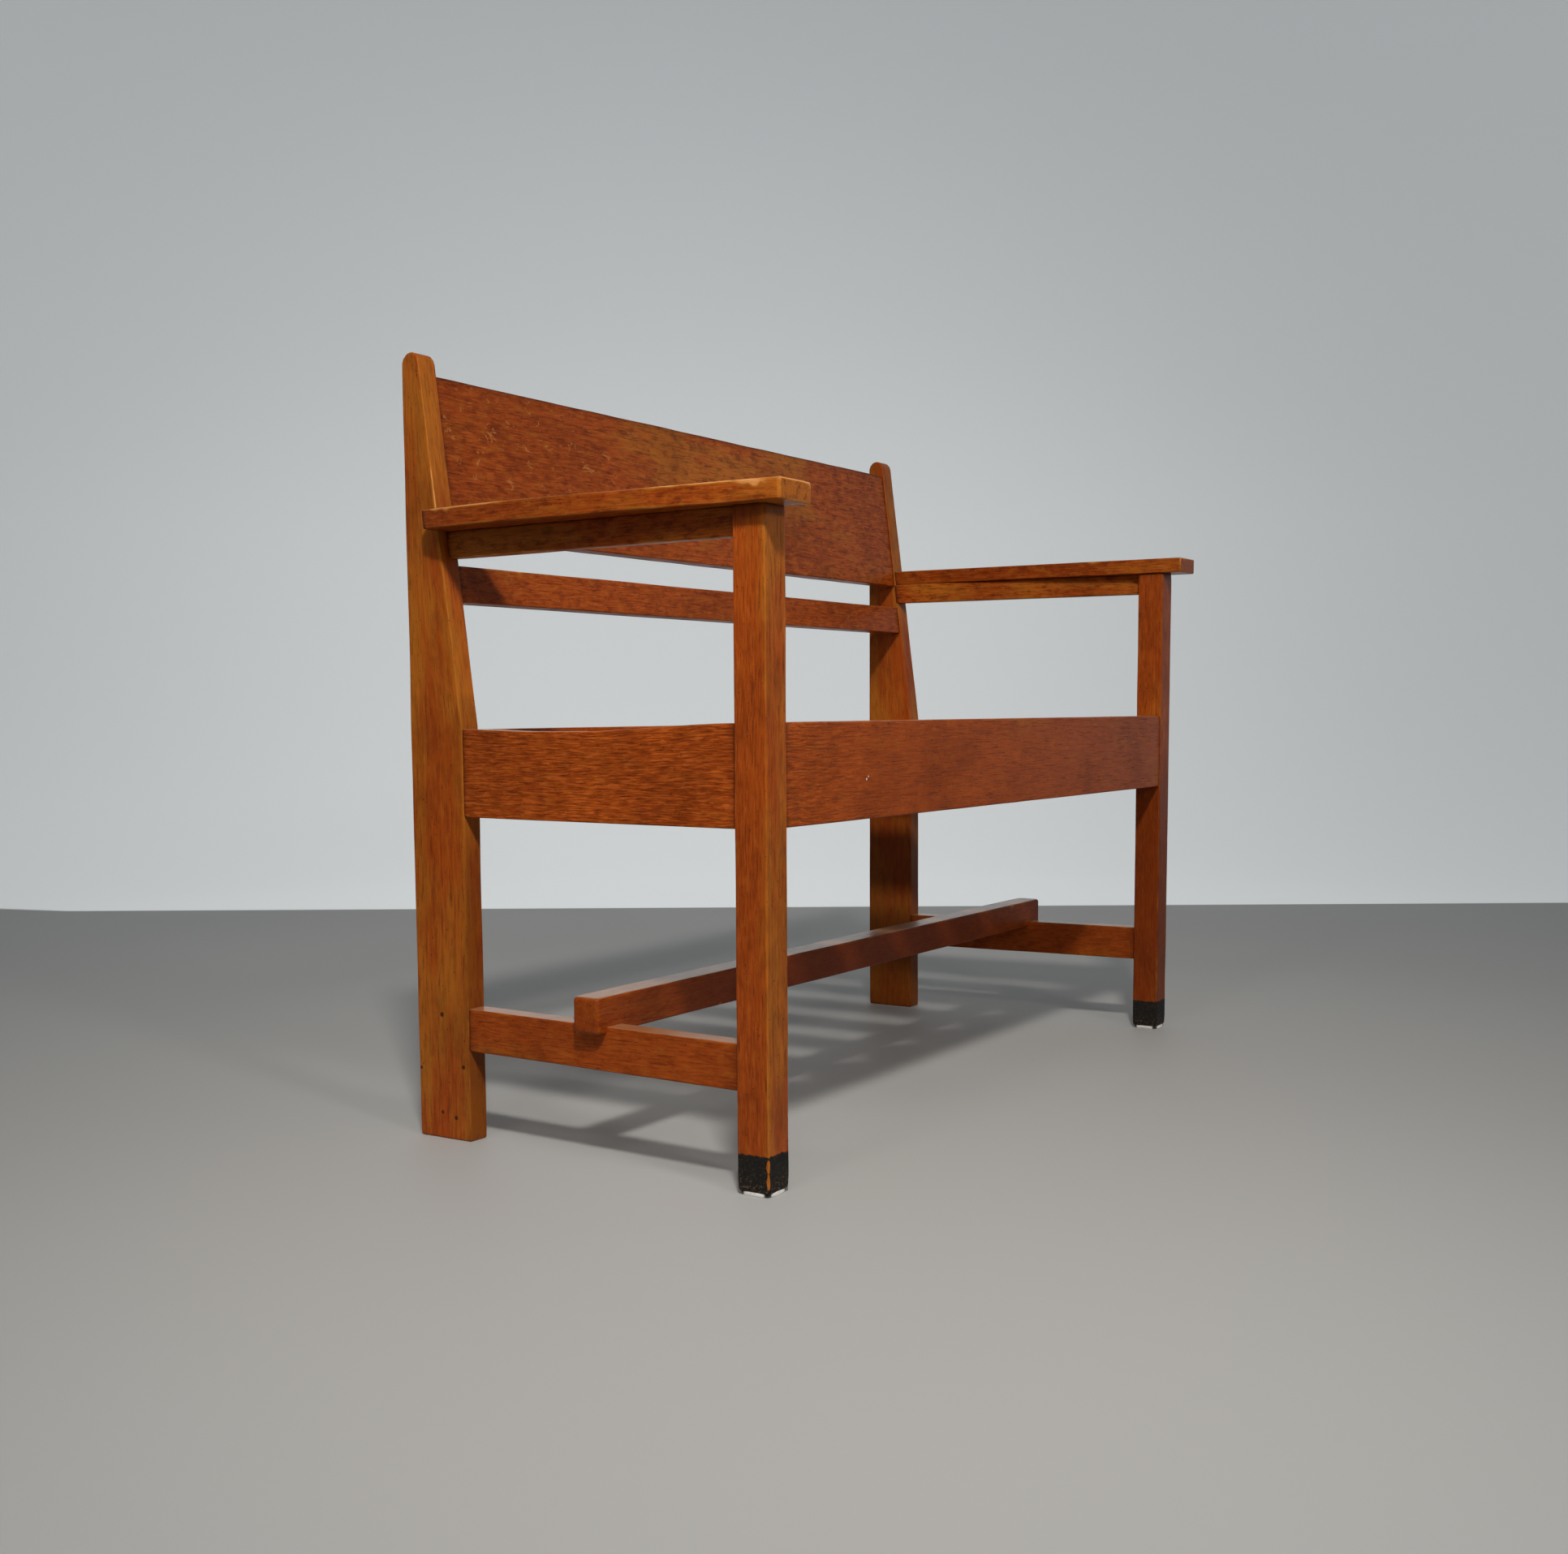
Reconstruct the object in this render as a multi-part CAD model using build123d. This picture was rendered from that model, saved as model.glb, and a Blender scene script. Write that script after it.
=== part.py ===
from build123d import *
import math
import os

# The whole settle: X runs left to right, Y from front to back, Z up from the floor.
# The origin is on the floor, in the middle of the length and of the overall depth.
front_width = 1068.0  # over the outer faces of the front legs
rear_leg_inset = 21.0  # each side, so the seat narrows to the back
frame_depth = 467.0  # front faces of the front legs to the backs of the rear legs
overall_height = 837.0  # floor to the round tops of the rear legs
seat_height = 450.0  # floor to the top of the front seat rail
arm_height = 670.0  # floor to the top of the arm boards

# Joints
joint_fit = 0.15  # play round a tenon, tongue or screw
tenon_end_gap = 1.0  # room past the end of a tenon
tenon_thickness = 8.0
overrun = 5.0  # how far a cut runs past the face it opens

# Front legs, square, standing on felt pads
front_leg_side = 36.0
front_leg_tenon = 18.0  # side of the square tenon that enters the arm
front_leg_tenon_length = 12.0
leg_arris = 1.2  # rounding of the long edges and of the foot
pad_thickness = 3.0
pad_inset = 1.0

# Rear legs, sawn from plank, raked in front above the seat
rear_leg_thickness = 26.0
rear_leg_depth = 73.0
rear_leg_top_depth = 24.0  # also the diameter of the round top
rake_drop = 5.0  # the rake starts this far below the seat's height

# Seat rails
rail_height = 100.0
rail_thickness = 22.0
rail_recess = 1.0  # behind the faces of the legs
rail_arris = 1.0
rail_shoulder = 9.0  # above and below a tenon
rail_front_tenon_length = 17.0
rail_rear_tenon_length = 30.0
side_rail_dip = 9.0  # the side rails' tops fall away in a long hollow
side_rail_dip_shares = (0.06, 0.48, 0.96, 1.0, 0.78)  # of the dip, at even steps to the back
rear_rail_drop = 8.0  # the rear rail's top lies this much lower than the front rail's
rear_rail_setback = 43.0  # behind the front edges of the rear legs
rear_rail_tenon_length = 17.0

# Back: a wide panel over a narrow slat, both lying along the rake
panel_drop = 22.0  # below the tops of the rear legs
panel_height = 167.0
back_gap = 32.0  # between the panel and the slat
slat_height = 39.0
back_thickness = 16.0
back_setback = 2.0  # behind the front edges of the rear legs
back_arris = 1.5
tongue_length = 10.0
tongue_shoulder = 6.0
panel_tongue_foot = 30.0  # the panel's tongue starts higher, clear of the arm's tenon

# Arms: a board over the front leg, butted against the rear leg, and a rail under it
arm_thickness = 20.0
arm_front_overhang = 27.0
arm_side_overhang = 17.0  # past the outer face of the front leg
arm_rear_overhang = 11.0  # past the rear leg, if its curve were carried to the leg's back
arm_inner_overhang = 3.0  # past the inner face of the front leg
arm_straight_share = 0.55  # front share of the outer edge that stays straight
arm_arris = 1.5
arm_corner_radius = 3.0
arm_tenon_height = 9.0
arm_tenon_inset = 4.0  # each side, within the rear leg's thickness
arm_tenon_length = 11.0
arm_rail_height = 28.0
arm_rail_thickness = 16.0
arm_rail_front_inset = 7.0
arm_rail_rear_inset = 10.0
arm_rail_shoulder = 6.0
arm_rail_front_tenon_length = 17.0
arm_rail_rear_tenon_length = 20.0

# Low stretchers: one at each side, and a long one let into their tops
stretcher_bottom = 99.0
stretcher_top = 145.0
stretcher_thickness = 25.0
stretcher_front_inset = 4.0
stretcher_rear_inset = 1.0
stretcher_shoulder = 4.0
stretcher_front_tenon_length = 20.0
stretcher_rear_tenon_length = 46.0
long_stretcher_overhang = 14.6  # past the outer faces of the side stretchers
long_stretcher_width = 33.0
long_stretcher_height = 37.5
long_stretcher_housing = 7.0  # how deep it is let into the side stretchers
long_stretcher_front = 200.5  # front faces of the legs to its front face
stretcher_arris = 1.5
pin_diameter = 3.0
pin_length = 21.0
pin_end_distance = 8.0  # from the end of the side stretcher's tenon
pin_drop = 9.0  # below the side stretcher's top

# Seat deck, sunk between the rails to hold a loose cushion
deck_drop = 40.0  # seat height to the top of the slats
slat_count = 8
slat_margin = 25.0  # between the rear legs and the outermost slats
slat_share = 0.7  # of the slats' pitch that is wood, the rest being gap
slat_thickness = 12.0
slat_end_gap = 2.0
slat_arris = 1.0
cleat_side = 22.0
cleat_end_gap = 2.0
block_reach = 52.0  # how far a glue block runs along each rail
block_height = 22.0
block_rise = 2.0  # above the bottoms of the rails
block_leg_gap = 1.0

# Screws
screw_head = 8.0
screw_head_depth = 3.0
screw_shank = 4.0
screw_tip = 4.0
screw_sink = 0.4
slat_screw_length = 28.0
cleat_screw_length = 34.0
stretcher_screw_length = 58.0

# Places worked out from the sizes above
front_y = (arm_front_overhang - frame_depth) / 2
rear_y = front_y + frame_depth
leg_back_y = front_y + front_leg_side
rear_leg_front_y = rear_y - rear_leg_depth
front_leg_x = -front_width / 2
rear_leg_x = front_leg_x + rear_leg_inset
front_leg_inner_x = front_leg_x + front_leg_side
rear_leg_inner_x = rear_leg_x + rear_leg_thickness
arm_bottom = arm_height - arm_thickness
arm_rail_bottom = arm_bottom - arm_rail_height
rail_bottom = seat_height - rail_height
rake_start = seat_height - rake_drop
panel_top = overall_height - panel_drop
panel_bottom = panel_top - panel_height
slat_top = panel_bottom - back_gap
slat_bottom = slat_top - slat_height
top_radius = rear_leg_top_depth / 2
round_z = overall_height - top_radius
rake = (rear_leg_depth - rear_leg_top_depth) / (round_z - rake_start)
rake_angle = math.degrees(math.atan(rake))
deck_top = seat_height - deck_drop
deck_bottom = deck_top - slat_thickness
slat_pitch = -2 * (rear_leg_inner_x + slat_margin) / (slat_count - 1 + slat_share)
slat_width = slat_share * slat_pitch
front_rail_inner_y = front_y + rail_recess + rail_thickness
rear_rail_front_y = rear_leg_front_y + rear_rail_setback
long_stretcher_y = front_y + long_stretcher_front + long_stretcher_width / 2
tenon_cheek = (rail_thickness - tenon_thickness) / 2


def rear_leg_edge(z):
    """Y of the rear legs' front edge at a height: upright to the rake, then leaning back."""
    return rear_leg_front_y + max(z - rake_start, 0) * rake


def block(x_from, x_to, y_from, y_to, z_from, z_to):
    """A rectangular solid between two corners."""
    size = Box(x_to - x_from, y_to - y_from, z_to - z_from)
    return Pos((x_from + x_to) / 2, (y_from + y_to) / 2, (z_from + z_to) / 2) * size


def plan_prism(points, z_from, z_to):
    """An outline in plan, raised between two heights."""
    outline = make_face(Polyline(*points, close=True))
    return extrude(Plane.XY.offset(z_from) * outline, amount=z_to - z_from)


def side_prism(outline, x_from, x_to):
    """A face drawn in Y and Z, carried along X."""
    return extrude(Plane.YZ.offset(x_from) * outline, amount=x_to - x_from)


def side_x(front_inset, rear_inset, y):
    """X at a depth on a left side member's outer face, which follows the narrowing seat."""
    share = (y - leg_back_y) / (rear_leg_front_y - leg_back_y)
    start = front_leg_x + front_inset
    end = rear_leg_x + rear_inset
    return start + share * (end - start)


def side_bar(insets, thickness, y_span, z_span, play=0):
    """A bar between the left legs, skewed in plan, and larger all round by the play."""
    front_inset, rear_inset = insets
    y_from, y_to = y_span[0] - play, y_span[1] + play
    near = side_x(front_inset, rear_inset, y_from) - play
    far = side_x(front_inset, rear_inset, y_to) - play
    across = thickness + 2 * play
    points = [(near, y_from), (far, y_to), (far + across, y_to), (near + across, y_from)]
    return plan_prism(points, z_span[0] - play, z_span[1] + play)


def long_edges(solid, least):
    """The edges of a solid that are at least this long."""
    return solid.edges().filter_by(lambda edge: edge.length > least)


def side_tenon_bar(insets, thickness, lengths, z_span, rear_edge, play=0):
    """The tenons at both ends of a left side member, as one bar that runs through it."""
    cheek = (thickness - tenon_thickness) / 2
    end_gap = tenon_end_gap if play else 0
    y_span = (leg_back_y - lengths[0] - end_gap, rear_edge + lengths[1] + end_gap)
    tenon_insets = (insets[0] + cheek, insets[1] + cheek)
    return side_bar(tenon_insets, tenon_thickness, y_span, z_span, play)


def side_rail_tenons(play=0):
    """Tenons of the left side seat rail."""
    z_span = (rail_bottom + rail_shoulder, seat_height - side_rail_dip - rail_shoulder)
    lengths = (rail_front_tenon_length, rail_rear_tenon_length)
    insets = (rail_recess, rail_recess)
    return side_tenon_bar(insets, rail_thickness, lengths, z_span, rear_leg_front_y, play)


def side_stretcher_tenons(play=0):
    """Tenons of the left side stretcher."""
    z_span = (stretcher_bottom + stretcher_shoulder, stretcher_top - stretcher_shoulder)
    lengths = (stretcher_front_tenon_length, stretcher_rear_tenon_length)
    insets = (stretcher_front_inset, stretcher_rear_inset)
    return side_tenon_bar(insets, stretcher_thickness, lengths, z_span, rear_leg_front_y, play)


def arm_rail_tenons(play=0):
    """Tenons of the left arm rail."""
    z_span = (arm_rail_bottom + arm_rail_shoulder, arm_bottom - arm_rail_shoulder)
    lengths = (arm_rail_front_tenon_length, arm_rail_rear_tenon_length)
    insets = (arm_rail_front_inset, arm_rail_rear_inset)
    edge = rear_leg_edge(arm_rail_bottom)
    return side_tenon_bar(insets, arm_rail_thickness, lengths, z_span, edge, play)


def cross_tenon_bar(inner_x, length, y_from, z_span, play=0):
    """The tenons at both ends of a straight cross rail, as one bar."""
    reach = length + (tenon_end_gap if play else 0)
    x_end = inner_x - reach - play
    y_low = y_from + tenon_cheek - play
    y_high = y_low + tenon_thickness + 2 * play
    return block(x_end, -x_end, y_low, y_high, z_span[0] - play, z_span[1] + play)


def front_rail_tenons(play=0):
    """Tenons of the front seat rail."""
    z_span = (rail_bottom + rail_shoulder, seat_height - rail_shoulder)
    length = rail_front_tenon_length
    return cross_tenon_bar(front_leg_inner_x, length, front_y + rail_recess, z_span, play)


def rear_rail_tenons(play=0):
    """Tenons of the rear seat rail."""
    z_span = (rail_bottom + rail_shoulder, seat_height - rear_rail_drop - rail_shoulder)
    length = rear_rail_tenon_length
    return cross_tenon_bar(rear_leg_inner_x, length, rear_rail_front_y, z_span, play)


def leaning(z):
    """The frame of a back board whose lower front edge is at this height, tilted to the rake."""
    return Pos(0, rear_leg_edge(z) + back_setback, z) * Rot(-rake_angle, 0, 0)


def back_board_height(z_from, z_to):
    """Length along the rake between two heights."""
    return (z_to - z_from) / math.cos(math.radians(rake_angle))


def back_tongue(z_from, z_to, foot, play=0):
    """The tongues of a back board, as one bar that runs through it."""
    height = back_board_height(z_from, z_to)
    reach = tongue_length + (tenon_end_gap if play else 0)
    x_end = rear_leg_inner_x - reach - play
    cheek = (back_thickness - tenon_thickness) / 2
    y_span = (cheek - play, cheek + tenon_thickness + play)
    z_span = (foot - play, height - tongue_shoulder + play)
    return leaning(z_from) * block(x_end, -x_end, *y_span, *z_span)


def panel_tongue(play=0):
    """Tongues of the back panel."""
    return back_tongue(panel_bottom, panel_top, panel_tongue_foot, play)


def slat_tongue(play=0):
    """Tongues of the back slat."""
    return back_tongue(slat_bottom, slat_top, tongue_shoulder, play)


def front_leg_top_tenon(play=0):
    """The square tenon on top of the left front leg."""
    rim = (front_leg_side - front_leg_tenon) / 2
    x_span = (front_leg_x + rim - play, front_leg_inner_x - rim + play)
    y_span = (front_y + rim - play, leg_back_y - rim + play)
    end_gap = tenon_end_gap if play else 0
    return block(*x_span, *y_span, arm_bottom - overrun, arm_bottom + front_leg_tenon_length + end_gap)


def arm_tenon(play=0):
    """The tenon that enters the left rear leg from the arm's back end."""
    x_span = (rear_leg_x + arm_tenon_inset - play, rear_leg_inner_x - arm_tenon_inset + play)
    z_middle = (arm_bottom + arm_height) / 2
    z_span = (z_middle - arm_tenon_height / 2 - play, z_middle + arm_tenon_height / 2 + play)
    end_gap = tenon_end_gap if play else 0
    edge = rear_leg_edge(z_middle)
    return block(*x_span, edge - arm_tenon_length, edge + arm_tenon_length + end_gap, *z_span)


def screw(length, play=0):
    """A countersunk screw along -Z, its head's face at the origin; with play it is its hole."""
    head = screw_head / 2 + play
    shank = screw_shank / 2 + play
    bottom = -length - (tenon_end_gap if play else 0)
    points = [
        (0, 0),
        (head, 0),
        (shank, -screw_head_depth),
        (shank, bottom + screw_tip),
        (0, bottom),
    ]
    body = revolve(make_face(Plane.XZ * Polyline(*points, close=True)), Axis.Z)
    if play:
        body = body + Pos(0, 0, overrun / 2) * Cylinder(head, overrun)
    return body


def placed_screws(places, length, play=0):
    """Screws, or their holes, at each place."""
    return [place * screw(length, play) for place in places]


def cut(solid, tools):
    """A solid with each tool taken out of it."""
    for tool in tools:
        solid = solid - tool
    return solid


def spread(count):
    """X of things set out one slat's pitch apart, about the middle of the settle."""
    return [(number - (count - 1) / 2) * slat_pitch for number in range(count)]


def front_cleat_span():
    """Y of the front cleat's two faces, against the front rail."""
    return front_rail_inner_y, front_rail_inner_y + cleat_side


def rear_cleat_span():
    """Y of the rear cleat's two faces, against the rear rail."""
    return rear_rail_front_y - cleat_side, rear_rail_front_y


def slat_screw_places():
    """Each slat's two screws, over the middles of the cleats."""
    z = deck_top - screw_sink
    rows = [sum(front_cleat_span()) / 2, sum(rear_cleat_span()) / 2]
    return [Pos(x, y, z) for x in spread(slat_count) for y in rows]


def cleat_screw_places():
    """Screws through the cleats into the rails, at every second gap between the slats."""
    z = deck_bottom - cleat_side / 2
    columns = spread(slat_count - 1)[::2]
    front_face = front_cleat_span()[1] - screw_sink
    rear_face = rear_cleat_span()[0] + screw_sink
    front = [Pos(x, front_face, z) * Rot(-90, 0, 0) for x in columns]
    rear = [Pos(x, rear_face, z) * Rot(90, 0, 0) for x in columns]
    return front + rear


def stretcher_screw_places():
    """A screw up through each side stretcher into the long one."""
    insets = (stretcher_front_inset, stretcher_rear_inset)
    x = side_x(*insets, long_stretcher_y) + stretcher_thickness / 2
    z = stretcher_bottom + screw_sink
    return [Pos(side * x, long_stretcher_y, z) * Rot(180, 0, 0) for side in (1, -1)]


def tenon_pin(play=0):
    """A pin through the left side stretcher's rear tenon, driven from the outside."""
    radius = pin_diameter / 2 + play
    length = pin_length + play + (overrun if play else 0)
    start = rear_leg_x + screw_sink - (overrun if play else 0)
    y = rear_leg_front_y + stretcher_rear_tenon_length - pin_end_distance
    z = stretcher_top - pin_drop
    return Pos(start + length / 2, y, z) * Rot(0, 90, 0) * Cylinder(radius, length)


def make_front_leg():
    """The left front leg, with its edges just eased and its mortises cut."""
    leg = block(front_leg_x, front_leg_inner_x, front_y, leg_back_y, pad_thickness, arm_bottom)
    foot = leg.faces().sort_by(Axis.Z)[0].edges()
    leg = fillet(leg.edges().filter_by(Axis.Z) + foot, leg_arris)
    leg = leg + front_leg_top_tenon()
    mortises = [side_rail_tenons, side_stretcher_tenons, arm_rail_tenons, front_rail_tenons]
    return cut(leg, [mortise(joint_fit) for mortise in mortises])


def make_rear_leg():
    """The left rear leg: its side outline carried across the plank's thickness."""
    outline = make_face(
        [
            Line((rear_y, 0), (rear_leg_front_y, 0)),
            Line((rear_leg_front_y, 0), (rear_leg_front_y, rake_start)),
            Line((rear_leg_front_y, rake_start), (rear_leg_edge(round_z), round_z)),
            ThreePointArc(
                (rear_leg_edge(round_z), round_z),
                (rear_y - top_radius, overall_height),
                (rear_y, round_z),
            ),
            Line((rear_y, round_z), (rear_y, 0)),
        ]
    )
    leg = side_prism(outline, rear_leg_x, rear_leg_inner_x)
    rims = leg.faces().filter_by(Axis.X).edges()
    foot = leg.edges().filter_by(Axis.X).group_by(Axis.Z)[0]
    leg = fillet(rims + foot, leg_arris)
    mortises = [side_rail_tenons, side_stretcher_tenons, arm_rail_tenons, arm_tenon]
    mortises = mortises + [rear_rail_tenons, panel_tongue, slat_tongue, tenon_pin]
    return cut(leg, [mortise(joint_fit) for mortise in mortises])


def make_cross_rail(inner_x, y_from, z_to, tenons):
    """A straight seat rail between two legs."""
    rail = block(inner_x, -inner_x, y_from, y_from + rail_thickness, rail_bottom, z_to)
    rail = fillet(rail.edges().filter_by(Axis.X), rail_arris)
    return rail + tenons()


def make_side_rail():
    """The left side seat rail, with a long shallow hollow worked along its top."""
    insets = (rail_recess, rail_recess)
    y_span = (leg_back_y, rear_leg_front_y)
    bar = side_bar(insets, rail_thickness, y_span, (rail_bottom, seat_height))
    step = (rear_leg_front_y - leg_back_y) / (len(side_rail_dip_shares) - 1)
    top = [
        (leg_back_y + number * step, seat_height - share * side_rail_dip)
        for number, share in enumerate(side_rail_dip_shares)
    ]
    side = make_face(
        [
            Spline(*top),
            Line(top[-1], (rear_leg_front_y, rail_bottom)),
            Line((rear_leg_front_y, rail_bottom), (leg_back_y, rail_bottom)),
            Line((leg_back_y, rail_bottom), top[0]),
        ]
    )
    rail = bar & side_prism(side, front_leg_x - overrun, rear_leg_inner_x + overrun)
    rail = fillet(long_edges(rail, rail_height + overrun), rail_arris)
    return rail + side_rail_tenons()


def make_back_board(z_from, z_to, tongue):
    """A board of the back, square in section and tilted to the rake."""
    height = back_board_height(z_from, z_to)
    board = block(rear_leg_inner_x, -rear_leg_inner_x, 0, back_thickness, 0, height)
    board = fillet(board.edges().filter_by(Axis.X), back_arris)
    return leaning(z_from) * board + tongue()


def behind_rear_leg_edge(x_from, x_to):
    """All that lies behind the raked front edge of the rear legs, to trim the arm parts."""
    low, high = rake_start, overall_height
    past = rear_y + overrun
    points = [(rear_leg_edge(low), low), (rear_leg_edge(high), high), (past, high), (past, low)]
    return side_prism(make_face(Polyline(*points, close=True)), x_from, x_to)


def make_arm():
    """The left arm board: straight outside at the front, then drawn in towards the back."""
    outer_x = front_leg_x - arm_side_overhang
    rear_outer_x = rear_leg_x - arm_rear_overhang
    inner_x = front_leg_inner_x + arm_inner_overhang
    tip_y = front_y - arm_front_overhang
    bend_y = tip_y + arm_straight_share * (rear_y - tip_y)
    rear_outer = (rear_outer_x, rear_y)
    outline = make_face(
        [
            Line((inner_x, tip_y), (outer_x, tip_y)),
            Line((outer_x, tip_y), (outer_x, bend_y)),
            TangentArc((outer_x, bend_y), rear_outer, tangent=(0, 1)),
            Line(rear_outer, (rear_leg_inner_x, rear_y)),
            Line((rear_leg_inner_x, rear_y), (inner_x, tip_y)),
        ]
    )
    board = extrude(Plane.XY.offset(arm_bottom) * outline, amount=arm_thickness)
    corners = board.edges().filter_by(Axis.Z).group_by(Axis.Y)[0]
    board = fillet(corners, arm_corner_radius)
    rims = [face.outer_wire().edges() for face in board.faces().filter_by(Axis.Z)]
    board = fillet(rims[0] + rims[1], arm_arris)
    board = board - behind_rear_leg_edge(outer_x - overrun, rear_leg_inner_x + front_leg_side)
    board = board + arm_tenon()
    return board - front_leg_top_tenon(joint_fit)


def make_arm_rail():
    """The left arm rail, under the arm and trimmed to the rear leg's rake."""
    insets = (arm_rail_front_inset, arm_rail_rear_inset)
    y_span = (leg_back_y, rear_y)
    rail = side_bar(insets, arm_rail_thickness, y_span, (arm_rail_bottom, arm_bottom))
    rail = fillet(long_edges(rail, arm_rail_height + overrun), rail_arris)
    rail = rail - behind_rear_leg_edge(front_leg_x, rear_leg_inner_x + front_leg_side)
    return rail + arm_rail_tenons()


def make_side_stretcher():
    """The left side stretcher, with a housing across its top for the long stretcher."""
    insets = (stretcher_front_inset, stretcher_rear_inset)
    y_span = (leg_back_y, rear_leg_front_y)
    z_span = (stretcher_bottom, stretcher_top)
    stretcher = side_bar(insets, stretcher_thickness, y_span, z_span)
    stretcher = fillet(long_edges(stretcher, stretcher_top - stretcher_bottom), rail_arris)
    stretcher = stretcher + side_stretcher_tenons()
    half = long_stretcher_width / 2 + joint_fit
    housing = block(
        front_leg_x - overrun,
        rear_leg_inner_x + overrun,
        long_stretcher_y - half,
        long_stretcher_y + half,
        stretcher_top - long_stretcher_housing,
        stretcher_top + overrun,
    )
    holes = placed_screws(stretcher_screw_places()[:1], stretcher_screw_length, joint_fit)
    return cut(stretcher, [housing, tenon_pin(joint_fit)] + holes)


def make_long_stretcher():
    """The long stretcher, eased all over, its ends standing past the side stretchers."""
    z_from = stretcher_top - long_stretcher_housing
    insets = (stretcher_front_inset, stretcher_rear_inset)
    half_length = long_stretcher_overhang - side_x(*insets, long_stretcher_y)
    half_width = long_stretcher_width / 2
    bar = block(
        -half_length,
        half_length,
        long_stretcher_y - half_width,
        long_stretcher_y + half_width,
        z_from,
        z_from + long_stretcher_height,
    )
    bar = fillet(bar.edges(), stretcher_arris)
    return cut(bar, placed_screws(stretcher_screw_places(), stretcher_screw_length, joint_fit))


def make_seat_slat(middle):
    """One slat of the seat deck, lying on the front and rear cleats."""
    y_from = front_rail_inner_y + slat_end_gap
    y_to = rear_rail_front_y - slat_end_gap
    half = slat_width / 2
    slat = block(middle - half, middle + half, y_from, y_to, deck_bottom, deck_top)
    slat = fillet(slat.edges().filter_by(Axis.Y), slat_arris)
    own = [place for place in slat_screw_places() if abs(place.position.X - middle) < half]
    return cut(slat, placed_screws(own, slat_screw_length, joint_fit))


def make_cleat(inner_x, y_span):
    """A square strip along a seat rail, which carries the slats."""
    half = -inner_x - cleat_end_gap
    cleat = block(-half, half, *y_span, deck_bottom - cleat_side, deck_bottom)
    holes = placed_screws(slat_screw_places(), slat_screw_length, joint_fit)
    holes = holes + placed_screws(cleat_screw_places(), cleat_screw_length, joint_fit)
    return cut(cleat, holes)


def make_front_glue_block():
    """The left front corner block, notched round the leg and fitted to both rails."""
    insets = (rail_recess, rail_recess)
    z_from = rail_bottom + block_rise
    leg_x = front_leg_inner_x + block_leg_gap
    leg_y = leg_back_y + block_leg_gap
    back_y = leg_back_y + block_reach
    points = [
        (leg_x, front_rail_inner_y),
        (leg_x + block_reach, front_rail_inner_y),
        (side_x(*insets, back_y) + rail_thickness, back_y),
        (side_x(*insets, leg_y) + rail_thickness, leg_y),
        (leg_x, leg_y),
    ]
    return plan_prism(points, z_from, z_from + block_height)


def make_rear_glue_block():
    """The left rear corner block, between the rear leg and the rear rail."""
    z_from = rail_bottom + block_rise
    points = [
        (rear_leg_inner_x, rear_rail_front_y),
        (rear_leg_inner_x + block_reach, rear_rail_front_y),
        (rear_leg_inner_x, rear_leg_front_y + block_rise),
    ]
    return plan_prism(points, z_from, z_from + block_height)


def make_foot_pad():
    """The felt pad under the left front leg."""
    inset = leg_arris + pad_inset
    x_span = (front_leg_x + inset, front_leg_inner_x - inset)
    y_span = (front_y + inset, leg_back_y - inset)
    return block(*x_span, *y_span, 0, pad_thickness)


def mirrored(solid):
    """The right-hand twin of a left-hand piece."""
    return mirror(solid, about=Plane.YZ)


def make_parts():
    """Every piece of the settle by its node name."""
    parts = {}
    pairs = {
        "front_leg": make_front_leg,
        "rear_leg": make_rear_leg,
        "side_seat_rail": make_side_rail,
        "arm": make_arm,
        "arm_rail": make_arm_rail,
        "side_stretcher": make_side_stretcher,
        "front_glue_block": make_front_glue_block,
        "rear_glue_block": make_rear_glue_block,
    }
    for name, make in pairs.items():
        left = make()
        parts[name + "_left"] = left
        parts[name + "_right"] = mirrored(left)

    cleat_holes = placed_screws(cleat_screw_places(), cleat_screw_length, joint_fit)
    front_rail = make_cross_rail(
        front_leg_inner_x, front_y + rail_recess, seat_height, front_rail_tenons
    )
    rear_rail = make_cross_rail(
        rear_leg_inner_x, rear_rail_front_y, seat_height - rear_rail_drop, rear_rail_tenons
    )
    parts["front_seat_rail"] = cut(front_rail, cleat_holes)
    parts["rear_seat_rail"] = cut(rear_rail, cleat_holes)
    parts["back_panel"] = make_back_board(panel_bottom, panel_top, panel_tongue)
    parts["back_slat"] = make_back_board(slat_bottom, slat_top, slat_tongue)
    parts["long_stretcher"] = make_long_stretcher()
    parts["seat_cleat_front"] = make_cleat(front_leg_inner_x, front_cleat_span())
    parts["seat_cleat_rear"] = make_cleat(rear_leg_inner_x, rear_cleat_span())
    for number, middle in enumerate(spread(slat_count), start=1):
        parts[f"seat_slat_{number}"] = make_seat_slat(middle)

    pad = make_foot_pad()
    pin = tenon_pin()
    parts["foot_pads"] = Compound([pad, mirrored(pad)])
    parts["tenon_pins"] = Compound([pin, mirrored(pin)])
    parts["slat_screws"] = Compound(placed_screws(slat_screw_places(), slat_screw_length))
    parts["cleat_screws"] = Compound(placed_screws(cleat_screw_places(), cleat_screw_length))
    parts["stretcher_screws"] = Compound(
        placed_screws(stretcher_screw_places(), stretcher_screw_length)
    )
    return parts


os.makedirs("parts", exist_ok=True)
for node, solid in make_parts().items():
    export_step(solid, f"parts/{node}.step")
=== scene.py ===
"""The looks of the settle: worn oak, black feet, pads, deck and fasteners in a pale studio."""

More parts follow.
